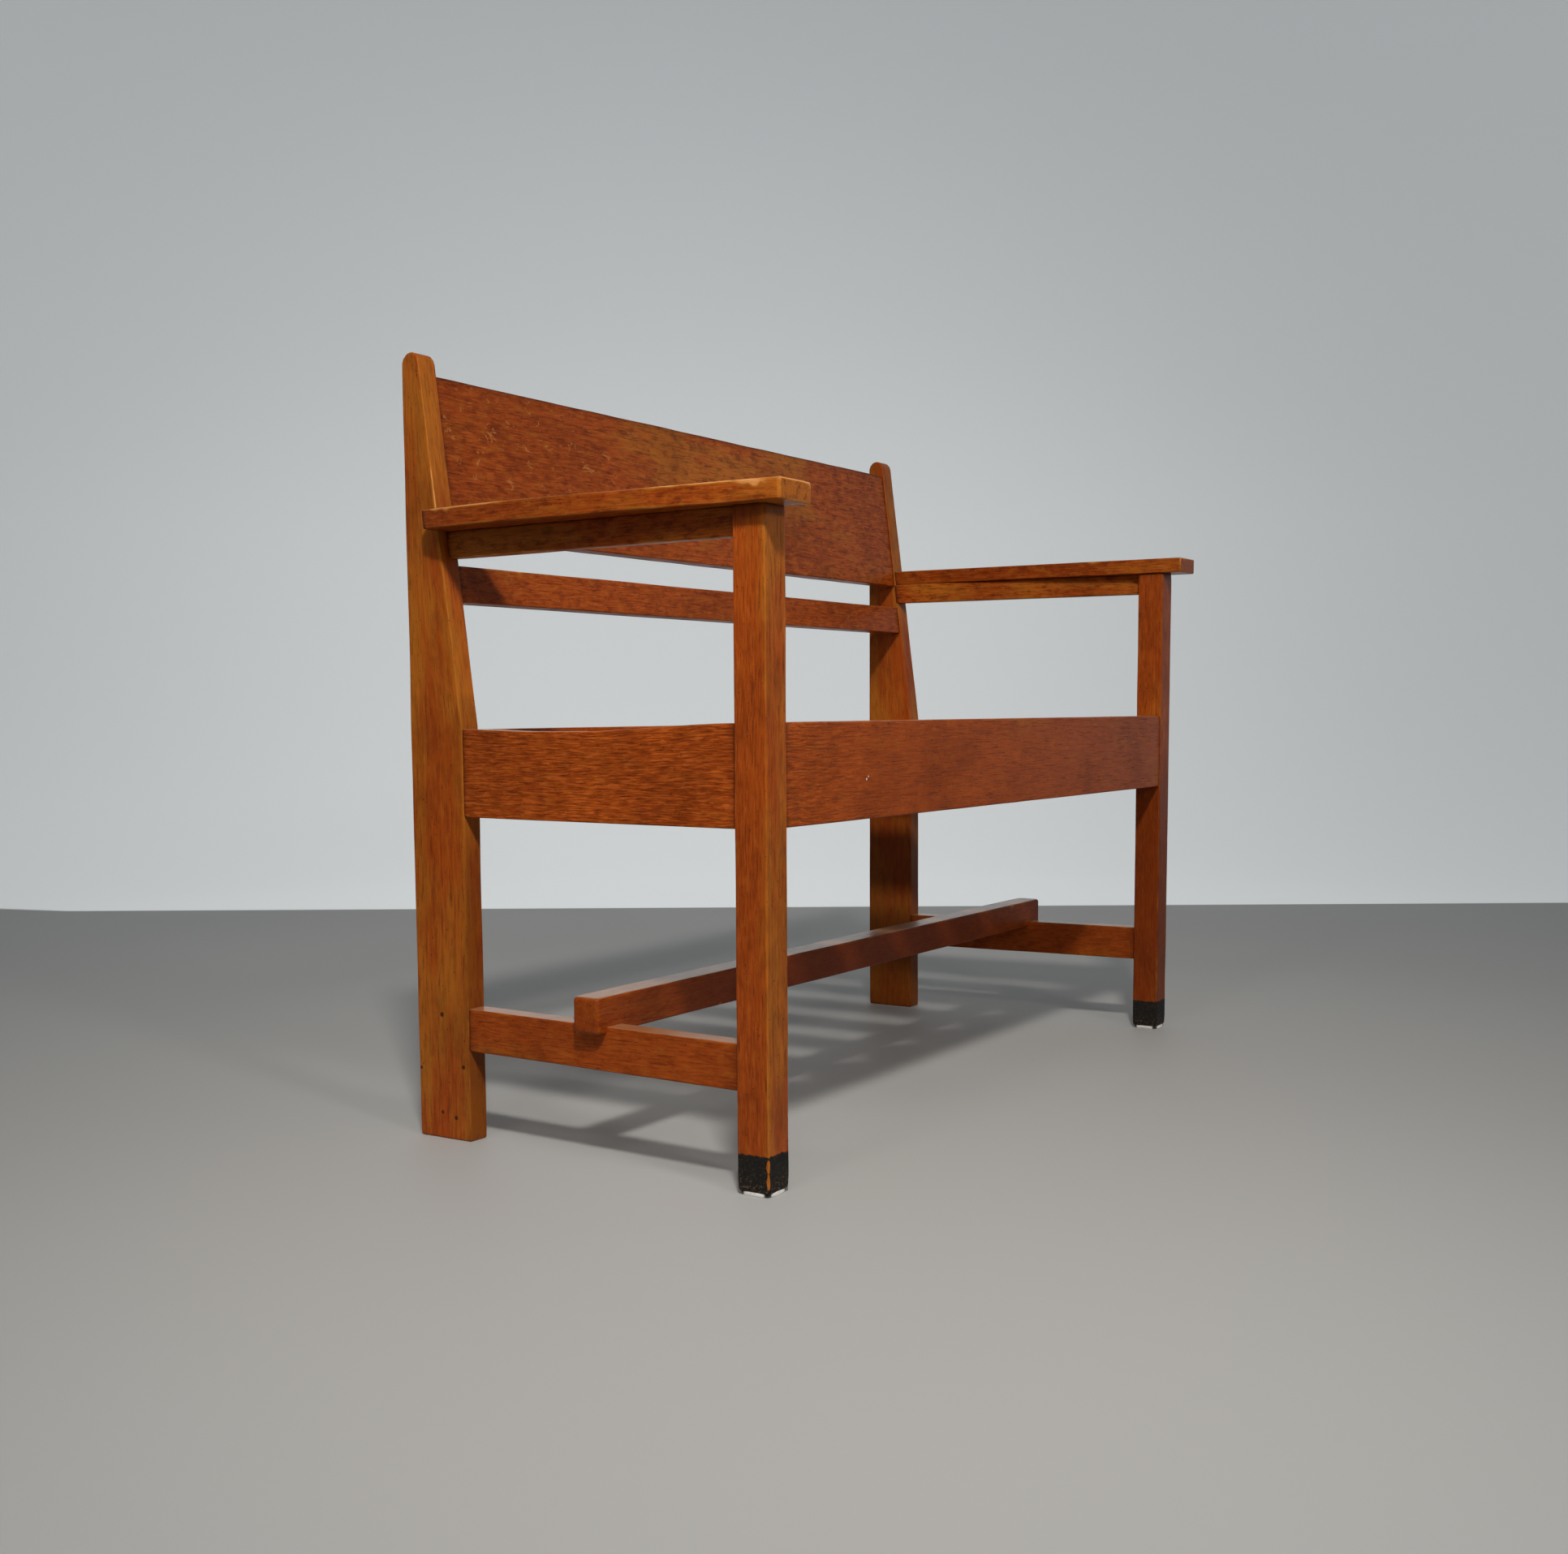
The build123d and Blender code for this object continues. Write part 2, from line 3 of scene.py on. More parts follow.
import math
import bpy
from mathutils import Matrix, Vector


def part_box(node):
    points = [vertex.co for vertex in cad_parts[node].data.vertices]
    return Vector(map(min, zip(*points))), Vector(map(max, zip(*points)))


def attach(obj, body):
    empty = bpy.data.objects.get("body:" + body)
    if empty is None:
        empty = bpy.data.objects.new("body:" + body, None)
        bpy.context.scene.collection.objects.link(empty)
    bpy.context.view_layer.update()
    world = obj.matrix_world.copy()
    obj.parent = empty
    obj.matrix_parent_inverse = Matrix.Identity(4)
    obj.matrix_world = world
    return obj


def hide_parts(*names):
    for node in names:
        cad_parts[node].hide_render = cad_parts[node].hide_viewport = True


bl_info = {
    "name": "Worn Oak Settle",
    "version": (1, 0, 0),
    "blender": (4, 5, 0),
    "location": "View3D > Sidebar > Settle",
    "description": "Dresses the frame of a settle in worn, varnished oak on a studio floor",
    "category": "Object",
}

import bpy
import numpy as np
from bpy.props import FloatProperty, FloatVectorProperty, PointerProperty
from mathutils import Matrix, Vector

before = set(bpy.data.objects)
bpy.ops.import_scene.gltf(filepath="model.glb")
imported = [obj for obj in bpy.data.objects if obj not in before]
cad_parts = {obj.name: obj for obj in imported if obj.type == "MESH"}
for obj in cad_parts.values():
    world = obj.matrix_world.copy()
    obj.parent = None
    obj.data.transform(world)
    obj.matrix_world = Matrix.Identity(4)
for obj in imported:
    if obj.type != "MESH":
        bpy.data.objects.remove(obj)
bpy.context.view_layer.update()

PHOTO_WIDTH, PHOTO_HEIGHT = 1932, 1915
LEFT, RIGHT = -1, 1
SIDES = {"left": LEFT, "right": RIGHT}
ALONG, ACROSS, THROUGH = range(3)


def corners(node):
    """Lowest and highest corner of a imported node, as arrays."""
    low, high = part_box(node)
    return np.array(low), np.array(high)


leg_low, leg_high = corners("front_leg_left")
rear_low, rear_high = corners("rear_leg_left")
arm_low, arm_high = corners("arm_left")
arm_rail_low, _ = corners("arm_rail_left")
side_stretcher_low, side_stretcher_high = corners("side_stretcher_left")
front_rail_low, front_rail_high = corners("front_seat_rail")
rear_rail_low, rear_rail_high = corners("rear_seat_rail")
panel_low, panel_high = corners("back_panel")
slat_low, slat_high = corners("back_slat")
long_low, long_high = corners("long_stretcher")
pads_low, pads_high = corners("foot_pads")

# Arrises of a board, as places in CORNER_SIGNS: on the low or high side of ACROSS, then of THROUGH
CORNER_SIGNS = ((-1, -1), (-1, 1), (1, -1), (1, 1))
LOW_HIGH, HIGH_HIGH = 1, 3

# Side members: insets from the legs' outer faces in front and behind, thickness, finish and seed
SIDE_MEMBERS = {
    "side_seat_rail": (0.001, 0.001, 0.022, "oak_seat_rails", 31),
    "arm_rail": (0.007, 0.010, 0.016, "oak_arms", 81),
    "side_stretcher": (0.004, 0.001, 0.025, "oak_stretchers", 91),
}
# Chips and end wear: how far a chip bites from its arris, and how far an end is rounded
CHIP_REACH, END_REACH = 0.006, 0.008
# Plane waves in a ripple
WAVES = 8
# Most distance from its edge that a point of a narrowing board keeps
EDGE_KEEP = 0.006
# How far the pads' rims bulge out past the legs
PAD_BULGE = 0.0034
# The side rails' hollow at even places from front to back, as shares of its depth
DIP_SHARES = (0.06, 0.48, 0.96, 1.0, 0.78)
# Bare wood on the near painted foot: middle height and half length of each strip
BARE_STRIPS = ((0.012, 0.008), (0.028, 0.009))
# Chips in the near arm: distance from its front end, arris, length and depth
ARM_CHIPS = (
    (0.006, HIGH_HIGH, 0.004, 0.0022), (0.014, HIGH_HIGH, 0.005, 0.0016),
    (0.026, HIGH_HIGH, 0.006, 0.0018), (0.040, HIGH_HIGH, 0.012, 0.0007),
    (0.002, LOW_HIGH, 0.004, 0.0012),
)
# Studio floor: radius of its innermost ring, and steps along its flat, up its curve and around
MIDDLE_RADIUS, FLAT_STEPS, TURN_STEPS, ROUND_STEPS = 0.3, 9, 12, 96
# Lamps: direction from the target, distance, size and colour
LAMPS = {
    "key": ((-0.6, -0.43, 0.68), 3.1, 0.28, (1.0, 0.96, 0.9)),
    "low": ((-0.366, -0.872, 0.322), 3.4, 0.4, (1.0, 0.97, 0.92)),
    "side": ((-0.82, -0.04, 0.57), 3.4, 0.6, (1.0, 0.97, 0.92)),
    "floor": ((0.0, 0.0, 1.0), 2.5, 0.8, (1.0, 0.98, 0.95)),
}


def shade(red, green, blue):
    """A colour as a screen shows it, 0 to 255, turned to the linear values that a shader takes."""
    values = np.array([red, green, blue]) / 255
    linear = np.where(values > 0.04045, ((values + 0.055) / 1.055) ** 2.4, values / 12.92)
    return tuple(float(v) for v in linear)


def length_property(name, description, default):
    """A size in metres."""
    return FloatProperty(
        name=name, description=description, default=default, min=0.0, unit="LENGTH", precision=5
    )


def colour_property(name, description, default):
    """A colour that the panel shows as a swatch."""
    return FloatVectorProperty(
        name=name, description=description, default=default, subtype="COLOR", min=0.0, max=1.0
    )


def share_property(name, description, default):
    """A share from 0 to 1."""
    return FloatProperty(
        name=name, description=description, default=default, min=0.0, max=1.0, subtype="FACTOR"
    )


def power_property(name, description, default):
    """A lamp's power in watts."""
    return FloatProperty(name=name, description=description, default=default, min=0.0, unit="POWER")


def angle_property(name, description, degrees):
    """An angle, kept in radians and shown in degrees."""
    return FloatProperty(
        name=name, description=description, default=math.radians(degrees), subtype="ANGLE"
    )


def number_property(name, description, default):
    """A plain number."""
    return FloatProperty(name=name, description=description, default=default, min=0.0)


def place_property(name, description, default):
    """A point, in metres."""
    return FloatVectorProperty(
        name=name, description=description, default=default, size=len(default), unit="LENGTH"
    )


class SettleSizes(bpy.types.PropertyGroup):
    """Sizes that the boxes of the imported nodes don't give."""

    rake_start: length_property("Rake Start", "Height where the rear legs begin to lean", 0.445)
    top_radius: length_property("Top Radius", "Radius of the rear legs' round tops", 0.012)
    back_setback: length_property("Back Setback", "Back boards behind the rear legs' edges", 0.002)
    back_thickness: length_property("Back Thickness", "Thickness of both back boards", 0.016)
    side_rail_dip: length_property("Side Rail Dip", "Depth of the hollow in the side rails", 0.009)
    arm_rear_x: length_property("Arm Rear X", "Half width at the back ends of the arms", 0.524)
    arm_inner_x: length_property("Arm Inner X", "Arms' inner front corner from the middle", 0.495)
    arm_corner: length_property("Arm Corner", "Radius of the arms' front corners in plan", 0.003)
    arm_straight: share_property("Arm Straight", "Front share of the arm's straight edge", 0.55)
    arris: length_property("Arris", "Least radius of the softened edges", 0.0008)
    arris_wear: length_property("Arris Wear", "Radius that wear adds in places", 0.0013)
    waviness: length_property("Waviness", "Depth of the hand-planed unevenness", 0.0002)
    sink: length_property("Sink", "How far a board's end runs into its neighbour", 0.0025)
    worn_reach: length_property("Worn Reach", "How far rubbed finish spreads from an edge", 0.0022)
    # Reach of the soiling and painted shade at the joints
    joint_reach: length_property("Joint Reach", "How far dirt spreads from a joint", 0.0022)
    paint_height: length_property("Paint Height", "Top of the black paint on the feet", 0.040)


class SettleFinishes(bpy.types.PropertyGroup):
    """Colours of the finishes."""

    oak_red: colour_property("Oak Red", "Stained oak where it is reddest", shade(156, 68, 16))
    oak_gold: colour_property("Oak Gold", "Oak where the stain has thinned", shade(168, 97, 27))
    oak_dark: colour_property("Oak Dark", "Pores and dark grain lines", shade(84, 30, 7))
    oak_light: colour_property("Oak Light", "Ripples that catch the light", shade(194, 95, 34))
    oak_bare: colour_property("Oak Bare", "Rubbed edges with the stain gone", shade(206, 140, 78))
    # Colour of soiling, also used as painted shade at the joints
    grime: colour_property("Grime", "Old polish and dirt in the joints", shade(52, 22, 9))
    # Also a painted sheen: the pale film on faces that look up
    dust: colour_property("Dust", "Dust on faces that look up", shade(172, 134, 98))
    paint: colour_property("Paint", "Black paint of the feet", shade(28, 27, 25))
    felt: colour_property("Felt", "Pads under the front legs", shade(232, 229, 224))
    pine: colour_property("Pine", "Seat deck", shade(190, 150, 102))
    pine_dark: colour_property("Pine Dark", "Late wood of the seat deck", shade(140, 96, 56))
    steel: colour_property("Steel", "Screws", shade(150, 146, 138))
    rust: colour_property("Rust", "Tarnish on the screws", shade(96, 66, 48))
    floor: colour_property("Floor", "Studio floor", shade(178, 177, 175))
    floor_far: colour_property("Floor Far", "Studio floor by the wall", shade(173, 173, 171))
    wall_edge: colour_property("Wall Edge", "Wall away from its lit middle", shade(188, 191, 192))
    wall: colour_property("Wall", "Studio wall", shade(209, 212, 213))


class SettleStudio(bpy.types.PropertyGroup):
    """Camera, lamps and floor."""

    camera_place: place_property("Camera Place", "Where it stands", (-1.9056, -1.1035, 0.4618))
    yaw: angle_property("Yaw", "Turn of the view from +Y towards +X", 57.77)
    pitch: angle_property("Pitch", "Tilt of the view above the level", -5.56)
    roll: angle_property("Roll", "Lean of the camera", -0.32)
    focal: number_property("Focal Length", "In photograph pixels", 2171.1)
    axis_height: number_property("Axis Height", "Photograph row that the lens axis meets", 1085.6)
    sensor: number_property("Sensor", "Sensor width in millimetres", 36.0)
    floor_radius: length_property("Floor Radius", "Flat part of the floor", 2.6)
    floor_line: length_property("Floor Line", "Where the wall begins, beyond the settle", 1.91)
    sweep_radius: length_property("Sweep Radius", "Radius of the curve up to the wall", 1.0)
    wall_height: length_property("Wall Height", "Height of the wall above the curve", 2.2)
    key_power: power_property("Key Power", "High lamp at the left front", 11.5)
    low_power: power_property("Low Power", "Low lamp at the front", 3.3)
    side_power: power_property("Side Power", "Lamp at the left", 1.6)
    floor_power: power_property("Floor Power", "Lamp over the floor in front", 3.3)
    lamp_target: place_property("Lamp Target", "Point the lamps look at", (-0.35, -0.15, 0.68))
    floor_target: place_property("Floor Target", "Under the floor's lamp", (-1.35, -0.85, 0.0))
    spread: angle_property("Spread", "Angle of the lamps' cones", 66)
    sky_strength: number_property("Sky Strength", "Even light from above", 0.13)
    sky: colour_property("Sky", "Colour of the even light", (0.86, 0.93, 1.0))
    wall_glow: number_property("Wall Glow", "Light that the wall gives off", 0.54)
    wall_middle: place_property("Wall Middle", "Its lit middle: aside and up", (-0.35, 0.75))


def sizes():
    """The sizes as the panel has them."""
    return bpy.context.scene.settle_sizes


def finishes():
    """The colours as the panel has them."""
    return bpy.context.scene.settle_finishes


def studio():
    """The studio's settings as the panel has them."""
    return bpy.context.scene.settle_studio


# Shader nodes written as Python expressions


class Wire:
    """A node's output that Python's arithmetic works on: each operator adds one Math node."""

    def __init__(self, tree, socket):
        self.tree = tree
        self.socket = socket

    def _math(self, operation, first, second):
        return self.tree.add("Math", {"operation": operation}, {0: first, 1: second})

    def __add__(self, other):
        return self._math("ADD", self, other)

    def __radd__(self, other):
        return self._math("ADD", other, self)

    def __sub__(self, other):
        return self._math("SUBTRACT", self, other)

    def __rsub__(self, other):
        return self._math("SUBTRACT", other, self)

    def __mul__(self, other):
        return self._math("MULTIPLY", self, other)

    def __rmul__(self, other):
        return self._math("MULTIPLY", other, self)

    def __truediv__(self, other):
        return self._math("DIVIDE", self, other)

    def __rtruediv__(self, other):
        return self._math("DIVIDE", other, self)

    def __mod__(self, other):
        return self._math("FLOORED_MODULO", self, other)


class Tree:
    """The node tree of one new material, with one method for every kind of node."""

    def __init__(self, name):
        self.material = bpy.data.materials.new(name)
        self.material.use_nodes = True
        self.nodes = self.material.node_tree.nodes
        self.links = self.material.node_tree.links
        self.nodes.clear()

    def add(self, kind, settings=None, sockets=None, output=0):
        """Adds a node, sets it up, then gives its sockets their values or links."""
        node = self.nodes.new("ShaderNode" + kind)
        for name, value in (settings or {}).items():
            setattr(node, name, value)
        for key, value in (sockets or {}).items():
            if isinstance(value, Wire):
                self.links.new(value.socket, node.inputs[key])
            else:
                node.inputs[key].default_value = value
        return Wire(self, node.outputs[output])

    def place(self):
        """The row frame's own coordinates, in metres."""
        return self.add("TexCoord", output="Object")

    def attribute(self, name, output="Vector"):
        """A value that the piece's mesh carries."""
        return self.add("Attribute", {"attribute_name": name}, output=output)

    def scaled(self, vector, factors):
        """A vector with each part times its factor."""
        return self.add("VectorMath", {"operation": "MULTIPLY"}, {0: vector, 1: factors})

    def length(self, vector):
        """A vector's length."""
        return self.add("VectorMath", {"operation": "LENGTH"}, {0: vector}, 1)

    def parts(self, vector):
        """A vector's three parts."""
        node = self.add("SeparateXYZ", sockets={0: vector}).socket.node
        return [Wire(self, socket) for socket in node.outputs]

    def joined(self, x, y, z):
        """A vector from three parts."""
        return self.add("CombineXYZ", sockets={0: x, 1: y, 2: z})

    def noise(self, vector, scale, detail=2.0, roughness=0.5, distortion=0.0):
        """Fractal noise, about 0 to 1."""
        sockets = {
            "Vector": vector, "Scale": scale, "Detail": detail,
            "Roughness": roughness, "Distortion": distortion,
        }
        return self.add("TexNoise", sockets=sockets)

    def step(self, value, low, high):
        """0 below one value, 1 above the other, and a smooth turn between them."""
        sockets = {"Value": value, "From Min": low, "From Max": high}
        return self.add("MapRange", {"interpolation_type": "SMOOTHSTEP"}, sockets)

    def mix(self, factor, first, second):
        """Two colours mixed."""
        settings = {"data_type": "RGBA", "blend_type": "MIX", "clamp_factor": True}
        return self.add("Mix", settings, {0: factor, 6: first, 7: second}, output=2)

    def greater(self, first, second):
        """The larger of two values."""
        return self.add("Math", {"operation": "MAXIMUM"}, {0: first, 1: second})

    def surface(self, settings, height, strength, distance):
        """Ends the tree with one Principled shader, its normal turned by a height."""
        bump = {"Height": height, "Strength": strength, "Distance": distance}
        normal = self.add("Bump", sockets=bump)
        shader = self.add("BsdfPrincipled", sockets={**settings, "Normal": normal})
        output = self.nodes.new("ShaderNodeOutputMaterial")
        self.links.new(shader.socket, output.inputs["Surface"])
        return self.material


def colour(values):
    """A property's colour with an alpha of one."""
    return (*values, 1.0)


def spots(tree, place, marks):
    """1 inside small soft-edged balls: each mark is a centre and a radius."""
    total = 0.0
    for centre, radius in marks:
        gap = tree.add("VectorMath", {"operation": "DISTANCE"}, {0: place, 1: centre}, 1)
        total = tree.step(gap, radius * 1.3, radius * 0.7) + total
    return total


def painted_foot(tree, place, worn, wood):
    """Black paint up to a ragged edge, chipped where it is worn and dusty towards the floor.
    Returns the colour, and how far the paint covers the wood."""
    look, edge = finishes(), sizes().paint_height
    height = tree.parts(place)[2]
    ragged = (tree.noise(place, 170.0, 4.0, 0.65) - 0.5) * 0.006
    coat = tree.step(height + ragged, edge + 0.0008, edge - 0.0008)
    chipped = tree.step(worn + (tree.noise(place, 260.0, 2.0) - 0.5) * 0.7, 0.75, 0.9)
    coat = coat * (1.0 - chipped)
    soiled = tree.step(tree.noise(place, 420.0, 3.0, 0.7), 0.50, 0.75)
    low = tree.step(height, 0.022, 0.004) * 0.45 + 0.12
    dusty = tree.mix(soiled * low, colour(look.paint), colour(look.dust))
    return tree.mix(coat, wood, dusty), coat


def oak(name, gold, flecks, rings, scuffs=0.0, lines=0.2, mottle=0.2, painted=False, marks=(),
        nails=()):
    """Varnished oak.

    Rings are the distance from the pith over the ring spacing, bent by slow noise. Pores are
    noise stretched along the grain and gathered where each ring starts. Flecks are a coarser
    stretched noise with a waver. Stain runs from red to gold with a cloudy noise, the worn
    attribute bares the wood at the edges, and the joints' attribute darkens them with soiling and
    painted shade. Faces that look up get a pale film, partly dusty and partly a painted sheen.
    Scratches are short pieces of the line where a noise crosses its middle value. The look
    attribute holds each place's goldness, darkness, much of it painted shade, and strength of
    figure.
    """
    tree = Tree(name)
    look = finishes()
    stains = (look.oak_red, look.oak_gold, look.oak_dark, look.oak_bare, look.grime)
    red, golden, darkest, bare_wood, dirt_and_shade = map(colour, stains)
    grain, place = tree.attribute("grain"), tree.place()
    tone, shaded, figure = tree.parts(tree.attribute("look"))
    worn, grime, dust = (tree.attribute(layer, "Fac") for layer in ("worn", "grime", "dust"))
    along, across, through = tree.parts(grain)

    def grained(kind, *settings):
        """Noise on the grain, at one kind's scales."""
        return tree.noise(tree.scaled(grain, GRAIN_SCALES[kind]), 1.0, *settings)

    waver = (grained("waver") - 0.5) * 5.0
    ring = (tree.length(tree.joined(0.0, across, through)) / RING_SPACING + waver) % 1.0
    early = tree.step(ring, 0.45, 1.0)
    pores = grained("pore", 3.0, 0.6)
    pore = tree.step(pores, 0.52, 0.63) * (early * 0.5 + 0.5)
    bend = (grained("bend", 1.0) - 0.5) * 0.005
    bent = [along * FLECK_ALONG, (across + bend) * FLECK_ACROSS, (through + bend) * FLECK_ACROSS]
    fleck = tree.noise(tree.joined(*bent), 1.0, 2.0, 0.6)
    patch = tree.noise(place, 9.0, 4.0, 0.65)
    dapple = grained("dapple", 4.0, 0.65)

    stain = grained("cloud", 3.0, 0.55) * 0.7 + grained("streak", 3.0, 0.6) * 0.3 + tone * 0.12
    wood = tree.mix(tree.step(stain, 0.62 - gold * 0.3, 0.80 - gold * 0.3), red, golden)
    fleck_dark = tree.step(fleck, 0.47, 0.32) * (0.62 * flecks) * figure
    line_dark = tree.step(grained("line"), 0.56, 0.70) * lines
    pore_dark = pore * (figure * 0.25 + 0.45)
    dark = tree.greater(early * (0.30 * rings), line_dark)
    dark = tree.greater(dark, tree.greater(fleck_dark, pore_dark))
    wood = tree.mix(dark, wood, darkest)
    fleck_light = tree.step(fleck, 0.50, 0.64) * (0.85 * flecks) * figure
    light = tree.greater(fleck_light, tree.step(pores, 0.46, 0.32) * 0.40)
    wood = tree.mix(light, wood, colour(look.oak_light))
    wood = tree.mix(tree.step(patch, 0.42, 0.72) * 0.4, wood, darkest)
    wood = tree.mix(tree.step(dapple, 0.50, 0.66) * mottle, wood, darkest)
    wood = tree.mix(tree.step(dapple, 0.46, 0.34) * mottle, wood, golden)
    wood = tree.mix(tree.step(tree.noise(place, 330.0, 1.0), 0.70, 0.78) * 0.6, wood, dirt_and_shade)
    if scuffs:
        wander = grained("scratch", 1.5, 0.5, 0.8) - 0.5
        line = tree.step(tree.add("Math", {"operation": "ABSOLUTE"}, {0: wander}), 0.030, 0.004)
        short = tree.step(grained("scratch_length", 1.0), 0.55, 0.66)
        wood = tree.mix(line * short * tree.attribute("scuffed", "Fac") * scuffs, wood, bare_wood)
    if marks:
        wood = tree.mix(spots(tree, place, marks), wood, colour(look.felt))
    if nails:
        wood = tree.mix(spots(tree, place, nails) * 0.9, wood, dirt_and_shade)
    # Darkness from the look attribute, much of it painted shade
    wood = tree.mix(shaded, wood, darkest)
    stretch = tree.step(grained("stretch"), 0.38, 0.62) * 0.75 + 0.25
    rubbed = worn * stretch + (grained("breakup", 3.0, 0.65) - 0.5) * 1.1
    bare = tree.step(rubbed, 0.6, 1.1)
    wood = tree.mix(tree.step(rubbed, 0.15, 0.7) * 0.7, wood, golden)
    # Soiling and painted shade at the joints
    wood = tree.mix(grime * 0.9, wood, dirt_and_shade)
    wood = tree.mix(bare * 0.85, wood, bare_wood)
    # A pale film on faces that look up: partly dusty, partly a painted sheen
    film = dust * (tree.noise(place, 60.0, 4.0, 0.65) * 0.6 + 0.25)
    wood = tree.mix(film, wood, colour(look.dust))

    roughness = 0.34 + pore * 0.15 + (patch - 0.5) * 0.14 + bare * 0.2 + grime * 0.15
    height = pore * -0.6 + fleck * 0.3 * flecks + tree.noise(place, 1400.0, 1.0) * 0.12
    if painted:
        wood, coat = painted_foot(tree, place, worn, wood)
        roughness = roughness * (1.0 - coat) + coat * 0.6
        height = height * (1.0 - coat * 0.7) + coat * 0.5
    settings = {
        "Base Color": wood, "Roughness": roughness, "IOR": 1.5, "Specular IOR Level": 0.11,
        "Coat Weight": dust * 0.5, "Coat Roughness": 0.2, "Coat IOR": 1.6,
    }
    return tree.surface(settings, height, 0.5, 0.0006)


def pine(name, factors):
    """Bare pine: late-wood lines where a slow noise, stretched along the boards by the factors,
    crosses even steps."""
    tree = Tree(name)
    look = finishes()
    place = tree.place()
    run = tree.scaled(place, factors)
    waver = tree.noise(run, 0.35)
    lines = tree.noise(run, 1.6, 2.0, 0.6, 0.2)
    late = tree.step((lines * 7.0 + waver * 3.0) % 1.0, 0.55, 0.95)
    wood = tree.mix(late * 0.6, colour(look.pine), colour(look.pine_dark))
    stain = tree.noise(place, 7.0, 4.0, 0.6)
    wood = tree.mix(tree.step(stain, 0.45, 0.75) * 0.45, wood, colour(look.pine_dark))
    fibre = tree.noise(run, 9.0, 2.0, 0.7)
    settings = {"Base Color": wood, "Roughness": 0.62 + (stain - 0.5) * 0.2, "IOR": 1.45}
    return tree.surface(settings, fibre + late * 0.3, 0.4, 0.0005)


def felt(name):
    """Pressed felt: pale, soiled in patches, with a fibrous bump."""
    tree = Tree(name)
    look = finishes()
    place = tree.place()
    soil = tree.step(tree.noise(place, 190.0, 3.0, 0.6), 0.45, 0.8)
    cloth = tree.mix(soil * 0.3, colour(look.felt), colour(look.grime))
    cloth = tree.mix(tree.attribute("painted", "Fac"), cloth, colour(look.paint))
    settings = {"Base Color": cloth, "Roughness": 0.95, "Sheen Weight": 0.3}
    return tree.surface(settings, tree.noise(place, 2600.0, 3.0, 0.8), 0.8, 0.0006)


def steel(name, tarnish):
    """Old steel: brushed, with tarnish gathered by a noise."""
    tree = Tree(name)
    look = finishes()
    place = tree.place()
    stained = tree.noise(place, 520.0, 4.0, 0.7)
    stained = tree.step(stained, 0.62 - tarnish * 0.4, 0.8 - tarnish * 0.3)
    brushed = tree.noise(tree.scaled(place, (900.0, 5200.0, 900.0)), 1.0, 1.0)
    settings = {
        "Base Color": tree.mix(stained, colour(look.steel), colour(look.rust)),
        "Metallic": 1.0 - stained * 0.8, "Roughness": 0.34 + stained * 0.45 + brushed * 0.1,
    }
    return tree.surface(settings, brushed + stained, 0.3, 0.0002)


def studio_floor(name):
    """Pale poured floor with faint clouds in its colour and gloss. Beyond a straight line across
    the camera's heading it is a wall that gives off light, most in its middle, where its colour
    is also paler: a painted pool of light. Round the rest of the sweep it gives off a little."""
    tree = Tree(name)
    look, set_up = finishes(), studio()
    place = tree.place()
    cloud = tree.noise(place, 1.1, 4.0)
    pale = tree.mix((cloud - 0.3) * 0.25, colour(look.floor), colour(look.floor_far))
    x, y, z = tree.parts(place)
    beyond = x * math.sin(set_up.yaw) + y * math.cos(set_up.yaw)
    aside = x * math.cos(set_up.yaw) - y * math.sin(set_up.yaw)
    pale = tree.mix(tree.step(beyond, -0.6, set_up.floor_line), pale, colour(look.floor_far))
    near_edge = z * -1.2 + (set_up.floor_line - 0.01)
    upright = tree.step(beyond, near_edge, set_up.floor_line + 0.01)
    risen = tree.step(z, 0.0, set_up.sweep_radius)
    middle = set_up.wall_middle
    gap = tree.length(tree.joined(aside - middle[0], z - middle[1], 0.0))
    # Paler in the middle: a painted pool of light
    wall = tree.mix(tree.step(gap, *WALL_FADE), colour(look.wall), colour(look.wall_edge))
    glowing = tree.greater(upright, risen * SWEEP_GLOW)
    settings = {
        "Base Color": tree.mix(tree.greater(upright, risen), pale, wall), "Specular IOR Level": 0.3,
        "Roughness": 0.6 + (cloud - 0.5) * 0.1, "Emission Strength": set_up.wall_glow,
        "Emission Color": tree.mix(glowing, colour((0.0, 0.0, 0.0)), wall),
    }
    return tree.surface(settings, tree.noise(place, 240.0, 2.0, 0.6), 0.08, 0.0004)


# Distances from the wall's middle where its paler colour, a painted pool of light, begins and
# ends to turn, and the glow of the rest of the sweep as a share of the wall's
WALL_FADE, SWEEP_GLOW = (0.4, 2.6), 0.2
# Noise on oak, in waves per metre: along the grain, then twice across it
GRAIN_SCALES = {
    "waver": (4.0, 16.0, 16.0),
    "cloud": (5.0, 14.0, 14.0),
    "streak": (7.0, 150.0, 150.0),
    "line": (8.0, 400.0, 400.0),
    "stretch": (16.0, 16.0, 16.0),
    "bend": (30.0, 90.0, 90.0),
    "pore": (38.0, 640.0, 640.0),
    "scratch": (42.0, 70.0, 70.0),
    "breakup": (45.0, 260.0, 260.0),
    "dapple": (55.0, 120.0, 120.0),
    "scratch_length": (70.0, 90.0, 90.0),
}
FLECK_ALONG, FLECK_ACROSS = 44.0, 620.0
RING_SPACING = 0.0034
